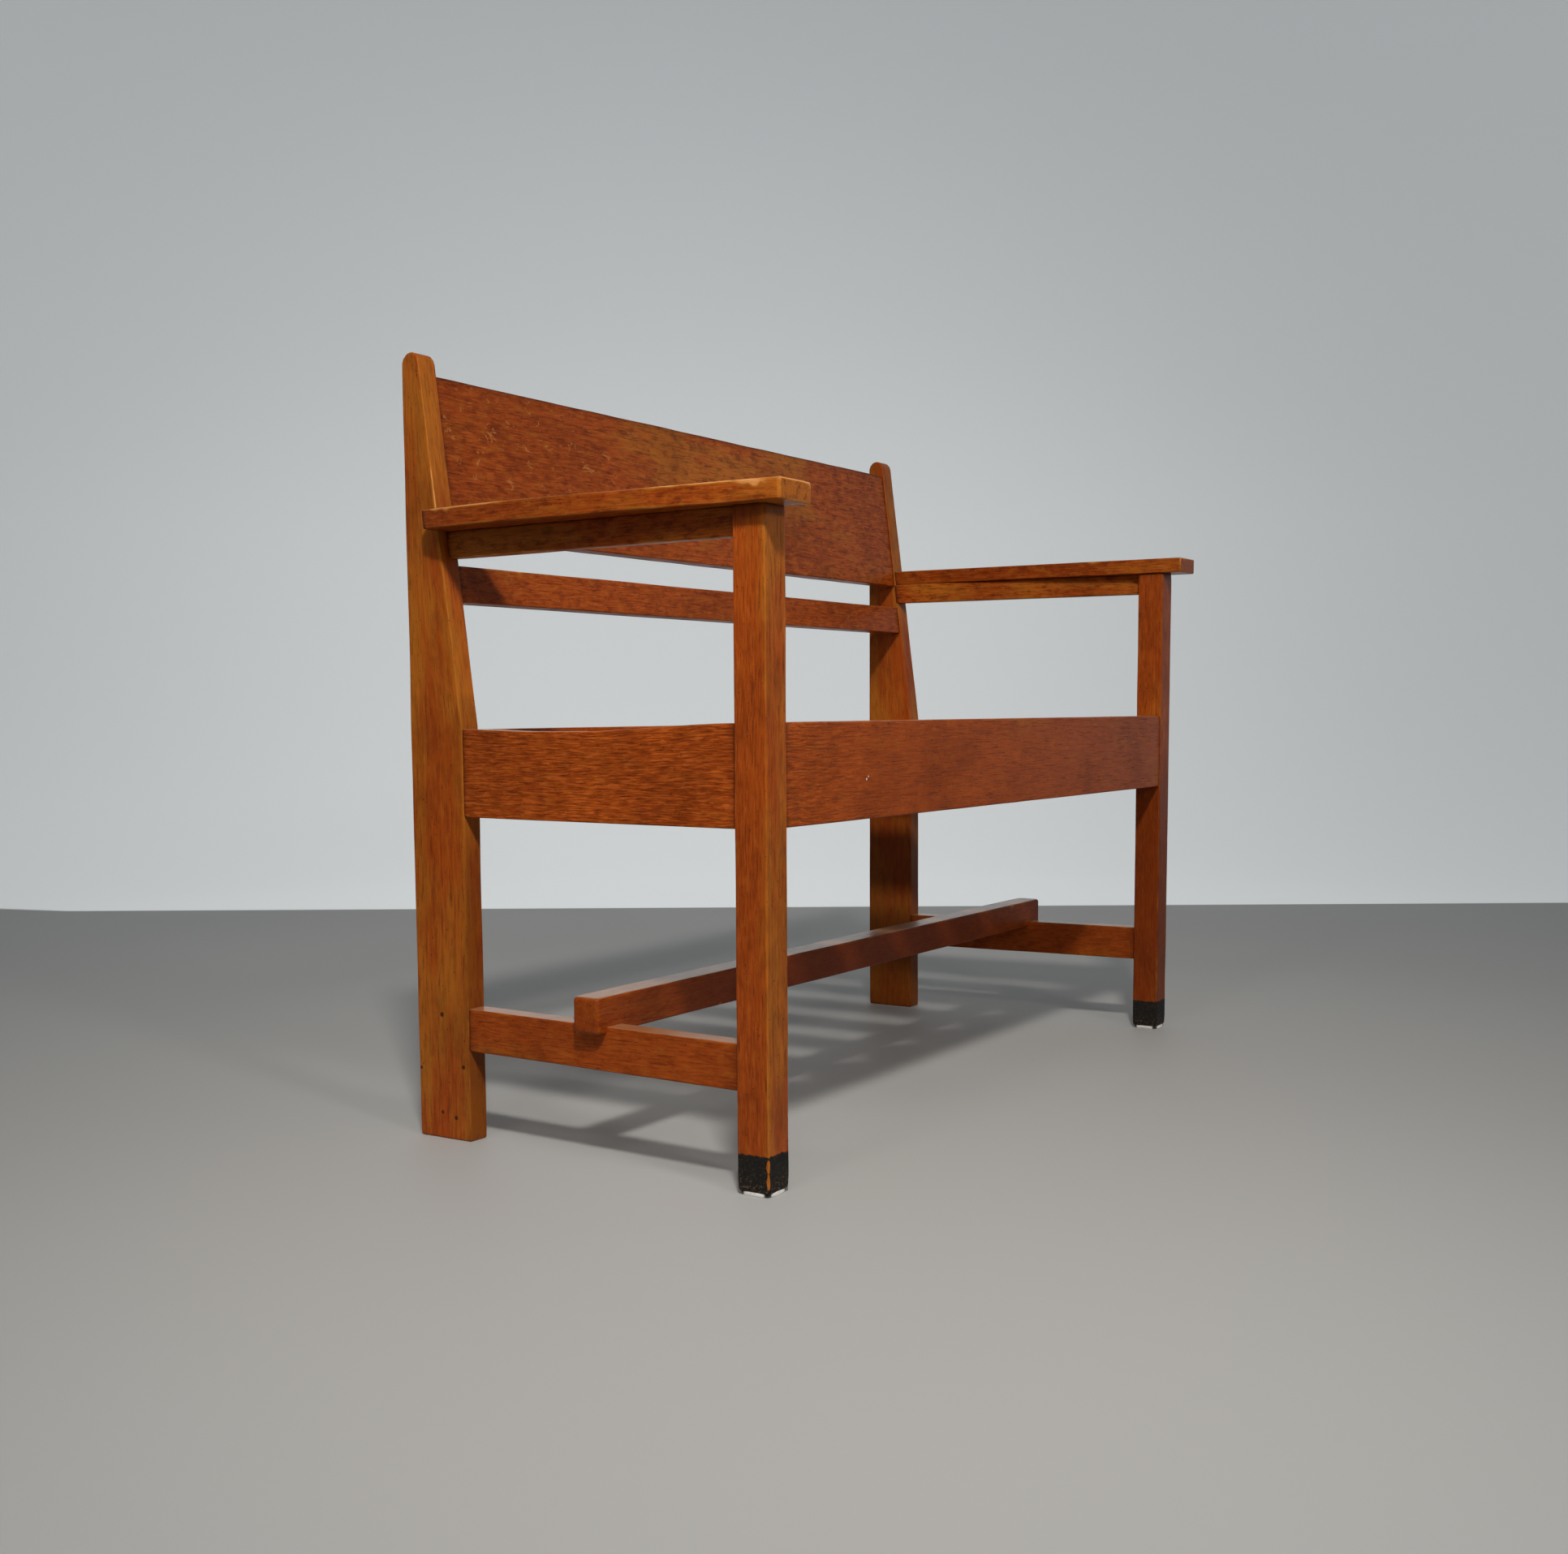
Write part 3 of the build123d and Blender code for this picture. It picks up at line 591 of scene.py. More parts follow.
# Dark marks on the rear legs and pale ones on the front rail: centre and radius
NAIL_HOLES = (
    ((-0.513, 0.1830, 0.081), 0.0024), ((-0.513, 0.2440, 0.075), 0.0020),
    ((-0.513, 0.2142, 0.0287), 0.0020), ((-0.513, 0.1949, 0.0243), 0.0024),
    ((-0.513, 0.2120, 0.1360), 0.0026), ((0.513, 0.2120, 0.1360), 0.0026),
)
RAIL_CHIPS = (((-0.3438, -0.219, 0.3909), 0.0012), ((-0.3400, -0.219, 0.3935), 0.0008))
OAKS = {
    "oak_front_legs": dict(gold=0.45, flecks=0.4, rings=0.35, lines=0.3, painted=True),
    "oak_rear_legs": dict(gold=0.55, flecks=0.2, rings=0.15, lines=0.1, nails=NAIL_HOLES),
    "oak_seat_rails": dict(gold=0.18, flecks=0.85, rings=0.15, scuffs=0.3, marks=RAIL_CHIPS),
    "oak_back": dict(gold=0.35, flecks=0.6, rings=0.3, scuffs=0.85, mottle=0.5),
    "oak_arms": dict(gold=0.45, flecks=0.6, rings=0.45, scuffs=0.4, lines=0.4, mottle=0.55),
    "oak_stretchers": dict(gold=0.30, flecks=0.4, rings=0.3, scuffs=0.2, mottle=0.3),
}
# Waves per metre along X, Y and Z: few along the grain of the deck's pieces
DECK = {
    "pine_along": (4.0, 95.0, 95.0),
    "pine_across": (95.0, 4.0, 95.0),
    "pine_upright": (95.0, 95.0, 4.0),
}
DECK_PARTS = {
    "seat_slat_": "pine_across", "seat_cleat_": "pine_along", "glue_block": "pine_upright",
}
# How tarnished each kind of fastener is
STEELS = {"screw_steel": 0.35, "pin_steel": 1.0}


def material(name):
    """The named material, made the first time that it is asked for."""
    if name in bpy.data.materials:
        return bpy.data.materials[name]
    if name in OAKS:
        return oak(name, **OAKS[name])
    if name in DECK:
        return pine(name, DECK[name])
    if name in STEELS:
        return steel(name, STEELS[name])
    return {"felt_pads": felt, "floor": studio_floor}[name](name)


# Board surfaces


def rise(value, start, end):
    """0 at the start, 1 at the end, straight between them and held beyond both."""
    return np.clip((value - start) / (end - start), 0, 1)


def bell(distance, width):
    """A bell: e to minus the square of the distance over the width."""
    return np.exp(-((distance / width) ** 2))


def fade(distance, width):
    """e to minus the distance over the width, on both sides."""
    return np.exp(-np.abs(distance) / width)


def places_along(half, step):
    """Places from -half to half: close together near both ends, then in nearly even steps."""
    near = np.array([0, 0.25, 0.55, 0.95, 1.5, 2.3, 3.6, 6.0]) * 1e-3
    near = near[near < 0.7 * half]
    count = max(1, round(2 * (half - near[-1]) / step))
    middle = np.linspace(near[-1] - half, half - near[-1], count + 1)
    return np.concatenate([near[:-1] - half, middle, half - near[:-1][::-1]])


def box_surface(size, step):
    """The surface of a box about the origin: six grids of two places each, joined at their rims.
    Returns the points and the four corners of each face, turned outwards."""
    halves = np.asarray(size) / 2
    marks = [places_along(half, step) for half in halves]
    points, quads, used = [], [], 0
    for axis in range(3):
        first, second = (axis + 1) % 3, (axis + 2) % 3
        a, b = np.meshgrid(marks[first], marks[second], indexing="ij")
        for sign in (-1, 1):
            grid = np.empty(a.shape + (3,))
            grid[..., axis], grid[..., first], grid[..., second] = sign * halves[axis], a, b
            number = used + np.arange(a.size).reshape(a.shape)
            ring = [number[:-1, :-1], number[1:, :-1], number[1:, 1:], number[:-1, 1:]]
            quad = np.stack(ring, -1).reshape(-1, 4)
            points.append(grid.reshape(-1, 3))
            quads.append(quad if sign > 0 else quad[:, ::-1])
            used += a.size
    points, quads = np.concatenate(points), np.concatenate(quads)
    keys = np.round(points * 1e7).astype(np.int64)
    _, first, where = np.unique(keys, axis=0, return_index=True, return_inverse=True)
    return points[first], where.reshape(-1)[quads]


def ripple(points, wavelength, seed):
    """A smooth field from 0 to 1: the mean of some plane waves with seeded directions, phases
    and lengths near the wavelength, stretched and cut off at both ends."""
    rng = np.random.default_rng(seed)
    directions = rng.normal(size=(WAVES, 3))
    directions /= np.linalg.norm(directions, axis=1, keepdims=True)
    waves = directions * (2 * np.pi / (wavelength * rng.uniform(0.6, 1.7, (WAVES, 1))))
    phases = rng.uniform(0, 2 * np.pi, WAVES)
    return np.clip(0.5 + 0.9 * np.sin(points @ waves.T + phases).mean(axis=1), 0, 1)


def arris_distances(points, halves):
    """Each point's distance to the four long edges of its box, in the order of CORNER_SIGNS."""
    gaps = [
        np.hypot(halves[ACROSS] - a * points[:, ACROSS], halves[THROUGH] - t * points[:, THROUGH])
        for a, t in CORNER_SIGNS
    ]
    return np.stack(gaps, 1)


def chip_field(points, halves, chips):
    """Depth that chips take off the nearest arris: for each chip (place along, arris, length,
    depth) a bell over its length, times a bell over the distance from the arris."""
    depth = np.zeros(len(points))
    gaps = arris_distances(points, halves)
    for along, corner, length, deep in chips:
        bite = bell(points[:, ALONG] - along, length) * bell(gaps[:, corner], CHIP_REACH)
        depth = np.maximum(depth, deep * bite)
    return depth


def seeded_chips(seed, half, count, deepest):
    """Small chips scattered over the four long arrises."""
    rng = np.random.default_rng(seed)

    def chip():
        along, corner = rng.uniform(-half, half), int(rng.integers(4))
        return along, corner, rng.uniform(0.002, 0.007), rng.uniform(0.2, 1) * deepest

    return [chip() for _ in range(count)]


def softened(points, halves, radius):
    """Rounds every arris: a point moves onto the ball of that radius whose centre is the point
    itself, held back from all faces by the radius."""
    held = halves - radius[:, None]
    core = np.clip(points, -held, held)
    out = points - core
    return core + out * (radius / np.linalg.norm(out, axis=1))[:, None]


def between(across, half, low, high):
    """Places across a board whose edges close in: within 6 mm of an edge a point keeps its
    distance from it, and the room between is shared out evenly."""
    keep = min(EDGE_KEEP, 0.4 * half)
    s = across + half
    room = 2 * (half - keep)
    middle = np.clip(s - keep, 0, room) / room * (high - low - 2 * keep)
    return low + np.clip(s, 0, keep) + middle + np.clip(s - keep - room, 0, keep)


def rounded(a, b):
    """Draws a square corner in to a quarter disc: a point keeps its direction, and the larger of
    its two coordinates becomes its distance."""
    reach = np.maximum(np.hypot(a, b), 1e-12)
    scale = np.maximum(np.abs(a), np.abs(b)) / reach
    return a * scale, b * scale


class Board:
    """One wooden member: its box in its own axes (along the grain, across, through), how worn
    each part is, and the function that lays it in the row frame."""

    def __init__(self, node, size, place, seed, finish):
        self.node, self.place, self.seed, self.finish = node, place, seed, finish
        self.size = np.asarray(size, float)
        self.pith = (0.09, 0.0)
        self.step = 0.005
        self.wear = (0.45, 0.45, 0.45, 0.45)
        self.chips = []
        self.chip_count, self.chip_depth = 5, 0.0004
        self.joints = ()
        self.open_ends = (False, False)
        self.tone, self.shaded, self.figure = 0.0, 0.0, 1.0
        self.scuffed = 0.25
        self.end_round = 0.0006
        self.extra_wear = None

    def worn(self, points, chips):
        """How far the finish is rubbed off: the largest over the arrises of its wear times a bell
        over the distance from it, and 1 in a chip."""
        halves = self.size / 2
        reach = sizes().worn_reach
        gaps = arris_distances(points, halves)
        rub = (np.array(self.wear) * bell(gaps, reach)).max(axis=1)
        to_side = (halves - np.abs(points))[:, [ACROSS, THROUGH]].min(axis=1)
        for end, open_end in zip((-1, 1), self.open_ends):
            if open_end:
                to_rim = np.hypot(halves[ALONG] - end * points[:, ALONG], to_side)
                rub = np.maximum(rub, max(self.wear) * bell(to_rim, reach))
        if self.extra_wear is not None:
            rub = np.maximum(rub, self.extra_wear(points, gaps))
        return np.clip(rub + chips / 0.0005, 0, 1.3)

    def grime(self, points):
        """Soiling and painted shade, from 1 at a joint to 0 away from it. A joint is (axis, place).
        """
        dirt_and_shade = np.zeros(len(points))
        for axis, place in self.joints:
            dirt_and_shade = np.maximum(dirt_and_shade, fade(points[:, axis] - place, sizes().joint_reach))
        return dirt_and_shade

    def spread(self, value, points):
        """A layer's values: one number everywhere, or a function of the points and their
        distances to the arrises."""
        if callable(value):
            return value(points, arris_distances(points, self.size / 2))
        return np.full(len(points), float(value))

    def look(self, points):
        """Goldness, darkness, much of it painted shade, and strength of figure."""
        values = (self.tone, self.shaded, self.figure)
        return np.stack([self.spread(value, points) for value in values], 1)

    def build(self):
        """Makes the piece: a box surface with uneven faces and arrises, laid in place."""
        halves = self.size / 2
        points, quads = box_surface(self.size, self.step)
        scattered = seeded_chips(self.seed, halves[ALONG], self.chip_count, self.chip_depth)
        chipped = chip_field(points, halves, self.chips + scattered)
        wear = ripple(points, 0.09, self.seed) * sizes().arris_wear
        ends = halves[ALONG] - np.abs(points[:, ALONG])
        rounding = sizes().arris + wear + chipped + self.end_round * bell(ends, END_REACH)
        radius = np.minimum(rounding, 0.45 * halves.min())
        laid = softened(points, halves, radius)
        uneven = ripple(points, 0.14, self.seed + 7) * sizes().waviness
        shrink = 1 - uneven[:, None] * np.array([0, 1, 1]) / halves
        x, y, z = self.place(*(laid * shrink).T)
        rng = np.random.default_rng(self.seed + 13)
        shift = rng.uniform(-3, 3)
        grain = points - np.array([shift, *self.pith])
        layers = {
            "grain": grain,
            "worn": self.worn(points, chipped),
            "grime": self.grime(points),
            "look": self.look(points),
            "scuffed": self.spread(self.scuffed, points),
        }
        points = np.stack([x, y, z], 1)
        piece = new_piece(f"worn_{self.node}", points, quads, layers, self.finish)
        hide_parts(self.node)
        return piece


def outward(points, quads):
    """Turns all faces round where the closed surface's signed volume is negative."""
    a, b, c, d = (points[quads[:, k]] for k in range(4))
    volume = (np.cross(a, b) * c).sum() + (np.cross(a, c) * d).sum()
    return quads if volume > 0 else quads[:, ::-1]


def new_piece(name, points, quads, layers, finish):
    """A smooth mesh with its layers as attributes, riding on the settle."""
    mesh = bpy.data.meshes.new(name)
    mesh.from_pydata(points.tolist(), [], outward(points, quads).tolist())
    mesh.shade_smooth()
    for layer, values in layers.items():
        kind, field = ("FLOAT_VECTOR", "vector") if values.ndim == 2 else ("FLOAT", "value")
        attribute = mesh.attributes.new(layer, kind, "POINT")
        attribute.data.foreach_set(field, values.astype(np.float32).ravel())
    normals = np.empty(len(points) * 3, np.float32)
    mesh.vertex_normals.foreach_get("vector", normals)
    # How much a point faces up, for a film that is partly dusty and partly a painted sheen
    dust = np.clip((normals[2::3] - 0.75) / 0.2, 0, 1)
    mesh.attributes.new("dust", "FLOAT", "POINT").data.foreach_set("value", dust)
    mesh.materials.append(material(finish))
    piece = bpy.data.objects.new(name, mesh)
    bpy.context.scene.collection.objects.link(piece)
    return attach(piece, "root")


def dress(node, finish):
    """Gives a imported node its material."""
    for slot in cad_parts[node].material_slots:
        slot.material = material(finish)


# Lines of the frame that several members follow


def rake_slope():
    """How far the rear legs' front edge goes back for each metre up."""
    start, radius = sizes().rake_start, sizes().top_radius
    return (rear_high[1] - 2 * radius - rear_low[1]) / (rear_high[2] - radius - start)


def rake_edge(z):
    """Front edge of the rear legs at a height: upright, then leaning back to the round top."""
    return rear_low[1] + np.maximum(z - sizes().rake_start, 0) * rake_slope()


def rake_angle():
    """Angle of the raked edge from upright."""
    return math.atan(rake_slope())


def side_line(front_inset, rear_inset):
    """Distance from the middle plane to a side member's outer face, as a function of depth: a
    straight line from the front leg's outer face to the rear leg's, less the insets."""
    front, rear = -leg_low[0] - front_inset, -rear_low[0] - rear_inset
    return lambda y: front + (y - leg_high[1]) / (rear_low[1] - leg_high[1]) * (rear - front)


# Members


def front_leg(side_name):
    """A square leg from its pad to the arm. Across runs back, through runs outwards."""
    side = SIDES[side_name]
    low, high = leg_low[2], arm_low[2] + sizes().sink
    middle_x, middle_y = -(leg_low[0] + leg_high[0]) / 2, (leg_low[1] + leg_high[1]) / 2
    width, length = leg_high[0] - leg_low[0], high - low

    def place(p, q, w):
        return side * (middle_x + w), middle_y + q, (low + high) / 2 + p

    size = (length, width, width)
    leg = Board(f"front_leg_{side_name}", size, place, 11 + (side == RIGHT), "oak_front_legs")
    leg.pith = (0.05, -0.04)
    leg.wear = (0.3, 0.4, 0.3, 0.3)
    leg.open_ends = (True, False)
    leg.end_round = 0.002
    leg.joints = ((ALONG, length / 2 - sizes().sink),)

    def tone(points, gaps):
        """Gold on the front face and beside its outer arris."""
        front = fade(points[:, ACROSS] + width / 2, 0.004)
        return -0.1 + 0.9 * front + 0.5 * bell(gaps[:, LOW_HIGH], 0.007)

    def shaded(points, gaps):
        """Painted shade: darker under the arm and, on the right leg, towards the floor."""
        height = points[:, ALONG] + length / 2
        low_part = 0.6 * rise(height, 0.42, 0.34) if side == RIGHT else 0.0
        return low_part + 0.25 * rise(height, length - 0.03, length)

    def bare_strips(points, gaps):
        """Lens-shaped strips of bare wood down the painted foot's outer front arris."""
        height = points[:, ALONG] + length / 2
        lenses = [1 - ((height - middle) / half) ** 2 for middle, half in BARE_STRIPS]
        lens = np.clip(np.maximum(*lenses), 0, 1)
        return 1.4 * np.sqrt(lens) * bell(gaps[:, LOW_HIGH], 0.0034)

    leg.tone = tone if side == LEFT else -0.2
    leg.shaded = shaded
    leg.extra_wear = bare_strips if side == LEFT else None
    return leg


def rear_leg(side_name):
    """A leg sawn from plank: its across places are laid between the raked front edge and the
    upright back, and its top is drawn in to a half disc. Through runs outwards."""
    side = SIDES[side_name]
    radius = sizes().top_radius
    height, depth = rear_high[2], rear_high[1] - rear_low[1]
    middle_x = -(rear_low[0] + rear_high[0]) / 2
    centre_y, centre_z = rear_high[1] - radius, height - radius

    def place(p, q, w):
        z = p + height / 2
        y = between(q, depth / 2, rake_edge(np.minimum(z, centre_z)), rear_high[1])
        a, b = rounded(y - centre_y, z - centre_z)
        top = z > centre_z
        return side * (middle_x + w), np.where(top, centre_y + a, y), np.where(top, centre_z + b, z)

    size = (height, depth, rear_high[0] - rear_low[0])
    leg = Board(f"rear_leg_{side_name}", size, place, 21 + (side == RIGHT), "oak_rear_legs")
    leg.pith = (-0.02, -0.06)
    leg.wear = (0.3, 0.35, 0.2, 0.3)
    leg.open_ends = (True, True)
    leg.end_round = 0.0012
    leg.figure = 0.5

    def tone(points, gaps):
        """Gold down both margins of the outer face and on the raked edge."""
        back = bell(depth / 2 - 0.010 - points[:, ACROSS], 0.009)
        front = fade(points[:, ACROSS] + depth / 2, 0.004)
        return 0.25 + 0.7 * back + 0.5 * front + 0.5 * bell(gaps[:, LOW_HIGH], 0.007)

    def shaded(points, gaps):
        """Painted shade, darker low down: on the front edge of the left leg, all over on the right
        one.
        """
        low = rise(points[:, ALONG] + height / 2, 0.36, 0.30)
        front = fade(points[:, ACROSS] + depth / 2, 0.003)
        return 0.5 * low * (front if side == LEFT else 1.0)

    def bright_line(points, gaps):
        """Rubbed lengths of the raked front arris, above the arm and at the top."""
        z = points[:, ALONG] + height / 2
        span = rise(z, 0.665, 0.675) * rise(z, 0.765, 0.745)
        top = rise(z, 0.812, 0.816)
        return 1.1 * np.maximum(span, top) * bell(gaps[:, LOW_HIGH], 0.0020)

    leg.tone, leg.shaded = tone, shaded
    leg.extra_wear = bright_line if side == LEFT else None
    return leg


def side_member(kind, side_name, low, high):
    """A rail between a front and a rear leg. Across runs up, through runs outwards. Its outer
    face follows the narrowing seat, its back end the rear leg's edge."""
    front_inset, rear_inset, thickness, finish, seed = SIDE_MEMBERS[kind]
    side = SIDES[side_name]
    sink = sizes().sink
    outer = side_line(front_inset, rear_inset)
    start = leg_high[1] - sink
    length = float(rake_edge(high)) + sink - start

    def place(p, q, w):
        z = (low + high) / 2 + q
        y = between(p, length / 2, start, rake_edge(z) + sink)
        return side * (outer(y) - thickness / 2 + w), y, z

    size = (length, high - low, thickness)
    rail = Board(f"{kind}_{side_name}", size, place, seed + (side == RIGHT), finish)
    half = length / 2 - sink
    rail.joints = ((ALONG, -half), (ALONG, half))
    return rail


def side_seat_rail(side_name):
    """A side member whose top falls away in a long hollow: the depth follows a smooth curve
    through five even places, and each point sinks by its share of the height."""
    low, high = front_rail_low[2], front_rail_high[2]
    rail = side_member("side_seat_rail", side_name, low, high)
    plain = rail.place
    places = np.linspace(leg_high[1], rear_low[1], len(DIP_SHARES))
    curve = np.polyfit(places, DIP_SHARES, 4)

    def place(p, q, w):
        x, y, z = plain(p, q, w)
        dip = sizes().side_rail_dip * np.clip(np.polyval(curve, y), 0, 1)
        return x, y, z - dip * (z - low) / (high - low)

    rail.place = place
    rail.pith = (0.12, 0.0)
    rail.wear = (0.15, 0.2, 0.25, 0.25)
    rail.tone, rail.figure = -0.3, 1.3
    return rail


def arm_rail(side_name):
    """The rail under an arm."""
    rail = side_member("arm_rail", side_name, arm_rail_low[2], arm_low[2])
    rail.wear = (0.6, 1.0, 0.2, 0.2)
    rail.tone = 0.7

    def shaded(points, gaps):
        """Painted shadow of the arm: a line behind, and most of the height in front."""
        half_length, half_height = rail.size[ALONG] / 2, rail.size[ACROSS] / 2
        forward = (half_length - points[:, ALONG]) / (2 * half_length)
        edge = half_height * (0.5 - 1.3 * forward)
        return 0.2 * rise(points[:, ACROSS] - edge, 0, 0.004)

    if side_name == "left":
        rail.shaded = shaded
    return rail


def side_stretcher(side_name):
    """A low rail between a front and a rear leg."""
    rail = side_member("side_stretcher", side_name, side_stretcher_low[2], side_stretcher_high[2])
    # Darker all over: a little on the left one, and much more on the right one as painted shade
    rail.tone, rail.shaded = -0.3, 0.08 if side_name == "left" else 0.28
    return rail


def cross_member(node, low, high, inner_x, seed, finish="oak_seat_rails"):
    """A bar along X that fills its box. Across runs up, through runs back. Between two legs its
    ends stand on their inner faces, and otherwise they are free."""
    sink = sizes().sink
    length = high[0] - low[0] if inner_x is None else 2 * (inner_x + sink)
    middle = (low + high) / 2

    def place(p, q, w):
        return p, middle[1] + w, middle[2] + q

    bar = Board(node, (length, high[2] - low[2], high[1] - low[1]), place, seed, finish)
    if inner_x is not None:
        bar.joints = ((ALONG, -inner_x), (ALONG, inner_x))
    return bar


def front_seat_rail():
    """The deep rail between the front legs, with more figure and more red at its left."""
    rail = cross_member("front_seat_rail", front_rail_low, front_rail_high, -leg_high[0], 41)
    half = rail.size[ALONG] / 2
    rail.pith = (0.13, 0.01)
    rail.wear = (0.2, 0.15, 0.4, 0.3)
    rail.chip_count = 7

    def figure(points, gaps):
        """Most at the left end, and even past two fifths of the half length."""
        return 0.3 + np.clip(0.9 - 2.2 * (points[:, ALONG] + half) / half, 0, 1)

    rail.figure = figure
    rail.tone = lambda points, gaps: 0.2 - 1.2 * rise(points[:, ALONG], 0, -half)
    rail.shaded = lambda points, gaps: 0.10 * rise(points[:, ALONG] + half, 0.2, 0)
    return rail


def rear_seat_rail():
    """The rail between the rear legs."""
    rail = cross_member("rear_seat_rail", rear_rail_low, rear_rail_high, -rear_high[0], 43)
    rail.pith = (0.1, 0.02)
    rail.tone = -0.2
    return rail


def long_stretcher():
    """The long bar laid over the side stretchers, its ends standing proud."""
    bar = cross_member("long_stretcher", long_low, long_high, None, 71, "oak_stretchers")
    half = bar.size[ALONG] / 2
    bar.pith = (0.03, 0.06)
    bar.wear = (0.2, 0.2, 0.45, 0.3)
    bar.open_ends = (True, True)
    bar.end_round = 0.0026
    bar.tone = -0.5

    def shaded(points, gaps):
        """Painted shade: darker all over, and more towards the middle."""
        from_end = half - np.abs(points[:, ALONG])
        return 0.34 + 0.44 * rise(from_end, 0.044, 0.264)

    bar.shaded = shaded
    return bar


def back_board(node, low, high, seed):
    """A board between the rear legs that leans with their rake. Across runs up the slope,
    through runs back from its front face. Its box's low corner is the back edge, which lies
    lower than the front one by the thickness times the sine of the rake."""
    angle, sink, inner_x = rake_angle(), sizes().sink, -rear_high[0]
    thickness = sizes().back_thickness
    low_z = low[2] + thickness * math.sin(angle)
    height = (high[2] - low_z) / math.cos(angle)
    foot_y = float(rake_edge(low_z)) + sizes().back_setback

    def place(p, q, w):
        up, back = q + height / 2, w + thickness / 2
        y = foot_y + up * math.sin(angle) + back * math.cos(angle)
        return p, y, low_z + up * math.cos(angle) - back * math.sin(angle)

    board = Board(node, (2 * (inner_x + sink), height, thickness), place, seed, "oak_back")
    board.joints = ((ALONG, -inner_x), (ALONG, inner_x))
    return board


def back_panel():
    """The wide top board."""
    panel = back_board("back_panel", panel_low, panel_high, 51)
    panel.figure = 1.1
    panel.pith = (0.03, 0.11)
    panel.wear = (0.25, 0.2, 0.3, 0.3)
    # A thin dark line along the top edge, though no board meets it there: painted shade
    panel.joints = (*panel.joints, (ACROSS, panel.size[ACROSS] / 2))

    def tone(points, gaps):
        """Two faded ochre patches on the upper half, and redder wood at the left."""
        x = points[:, ALONG]
        upper = rise(points[:, ACROSS], -0.02, 0.01)
        patches = bell(x + 0.060, 0.040) + bell(x - 0.225, 0.045)
        return 1.5 * upper * patches - 0.6 * rise(x, -0.15, -0.25) + 0.3

    def scuffed(points, gaps):
        """Scratches over the front's upper left, and few elsewhere."""
        front = fade(points[:, THROUGH] + sizes().back_thickness / 2, 0.004)
        near = np.hypot((points[:, ALONG] + 0.36) / 0.17, (points[:, ACROSS] - 0.03) / 0.06)
        return 0.15 + 0.85 * front * bell(near, 1)

    panel.tone, panel.scuffed = tone, scuffed
    # Painted shade: darker towards the left
    panel.shaded = lambda points, gaps: 0.28 * rise(points[:, ALONG], 0.05, -0.25)
    return panel


def back_slat():
    """The narrow board under the panel."""
    slat = back_board("back_slat", slat_low, slat_high, 53)
    slat.pith = (0.05, 0.05)
    slat.tone, slat.shaded = 0.3, 0.08
    return slat


def arm(side_name):
    """An arm board: across runs outwards, through runs up. Its outer edge is straight in front
    and then an arc, its front corners are rounded in plan, and it ends on the raked leg."""
    side = SIDES[side_name]
    sink = sizes().sink
    front, low, high = arm_low[1], arm_low[2], arm_high[2]
    back = -front
    outer_x, inner_front, inner_back = -arm_low[0], sizes().arm_inner_x, -rear_high[0]
    width, thickness = outer_x - inner_front, high - low
    length = float(rake_edge((low + high) / 2)) + sink - front
    bend_y = front + sizes().arm_straight * (back - front)
    run, fall = back - bend_y, outer_x - sizes().arm_rear_x
    bow = (run**2 + fall**2) / (2 * fall)
    corner = sizes().arm_corner

    def outer(y):
        past = np.clip(y - bend_y, 0, None)
        return outer_x - (bow - np.sqrt(bow**2 - past**2))

    def place(p, q, w):
        a = np.clip(np.abs(q) - (width / 2 - corner), 0, None)
        b = np.clip(-p - (length / 2 - corner), 0, None)
        round_a, round_b = rounded(a, b)
        inside = (a > 0) & (b > 0)
        q = np.where(inside, np.sign(q) * (width / 2 - corner + round_a), q)
        p = np.where(inside, -(length / 2 - corner + round_b), p)
        z = (low + high) / 2 + w
        y = between(p, length / 2, front, rake_edge(z) + sink)
        inner = inner_front + (y - front) / (back - front) * (inner_back - inner_front)
        return side * between(q, width / 2, inner, outer(y)), y, z

    size = (length, width, thickness)
    board = Board(f"arm_{side_name}", size, place, 61 + 2 * (side == RIGHT), "oak_arms")
    board.step = 0.0028
    board.pith = (0.02, -0.07)
    board.wear = (0.3, 0.5, 0.8, 1.3)
    board.open_ends = (True, False)
    board.joints = ((ALONG, length / 2 - sink),)
    board.chip_count, board.chip_depth = 9, 0.0005
    end_gold = 1.2 if side == LEFT else -0.2

    def tone(points, gaps):
        """Gold on the end and, less and less, along the front third."""
        past = points[:, ALONG] + length / 2
        return end_gold * (fade(past, 0.003) + rise(past, 0.2, 0)) - 0.2

    def shaded(points, gaps):
        """Darker towards the back."""
        return 0.26 * np.clip((points[:, ALONG] + length / 2) / 0.25, 0.35, 1)

    def corner_wear(points, gaps):
        """The bruised upright corner at the outer front."""
        reach = np.hypot(points[:, ALONG] + length / 2, points[:, ACROSS] - width / 2)
        return 1.2 * bell(reach, 0.0045)

    board.tone, board.shaded = tone, shaded
    if side == LEFT:
        board.chips = [(past - length / 2, *chip) for past, *chip in ARM_CHIPS]
        board.extra_wear = corner_wear
    return board


def under_edge(points, width):
    """1 at a pad's rim and 0 under the leg."""
    return rise(np.abs(points[:, :2]).max(axis=1) / (width / 2), 0.9, 0.98)


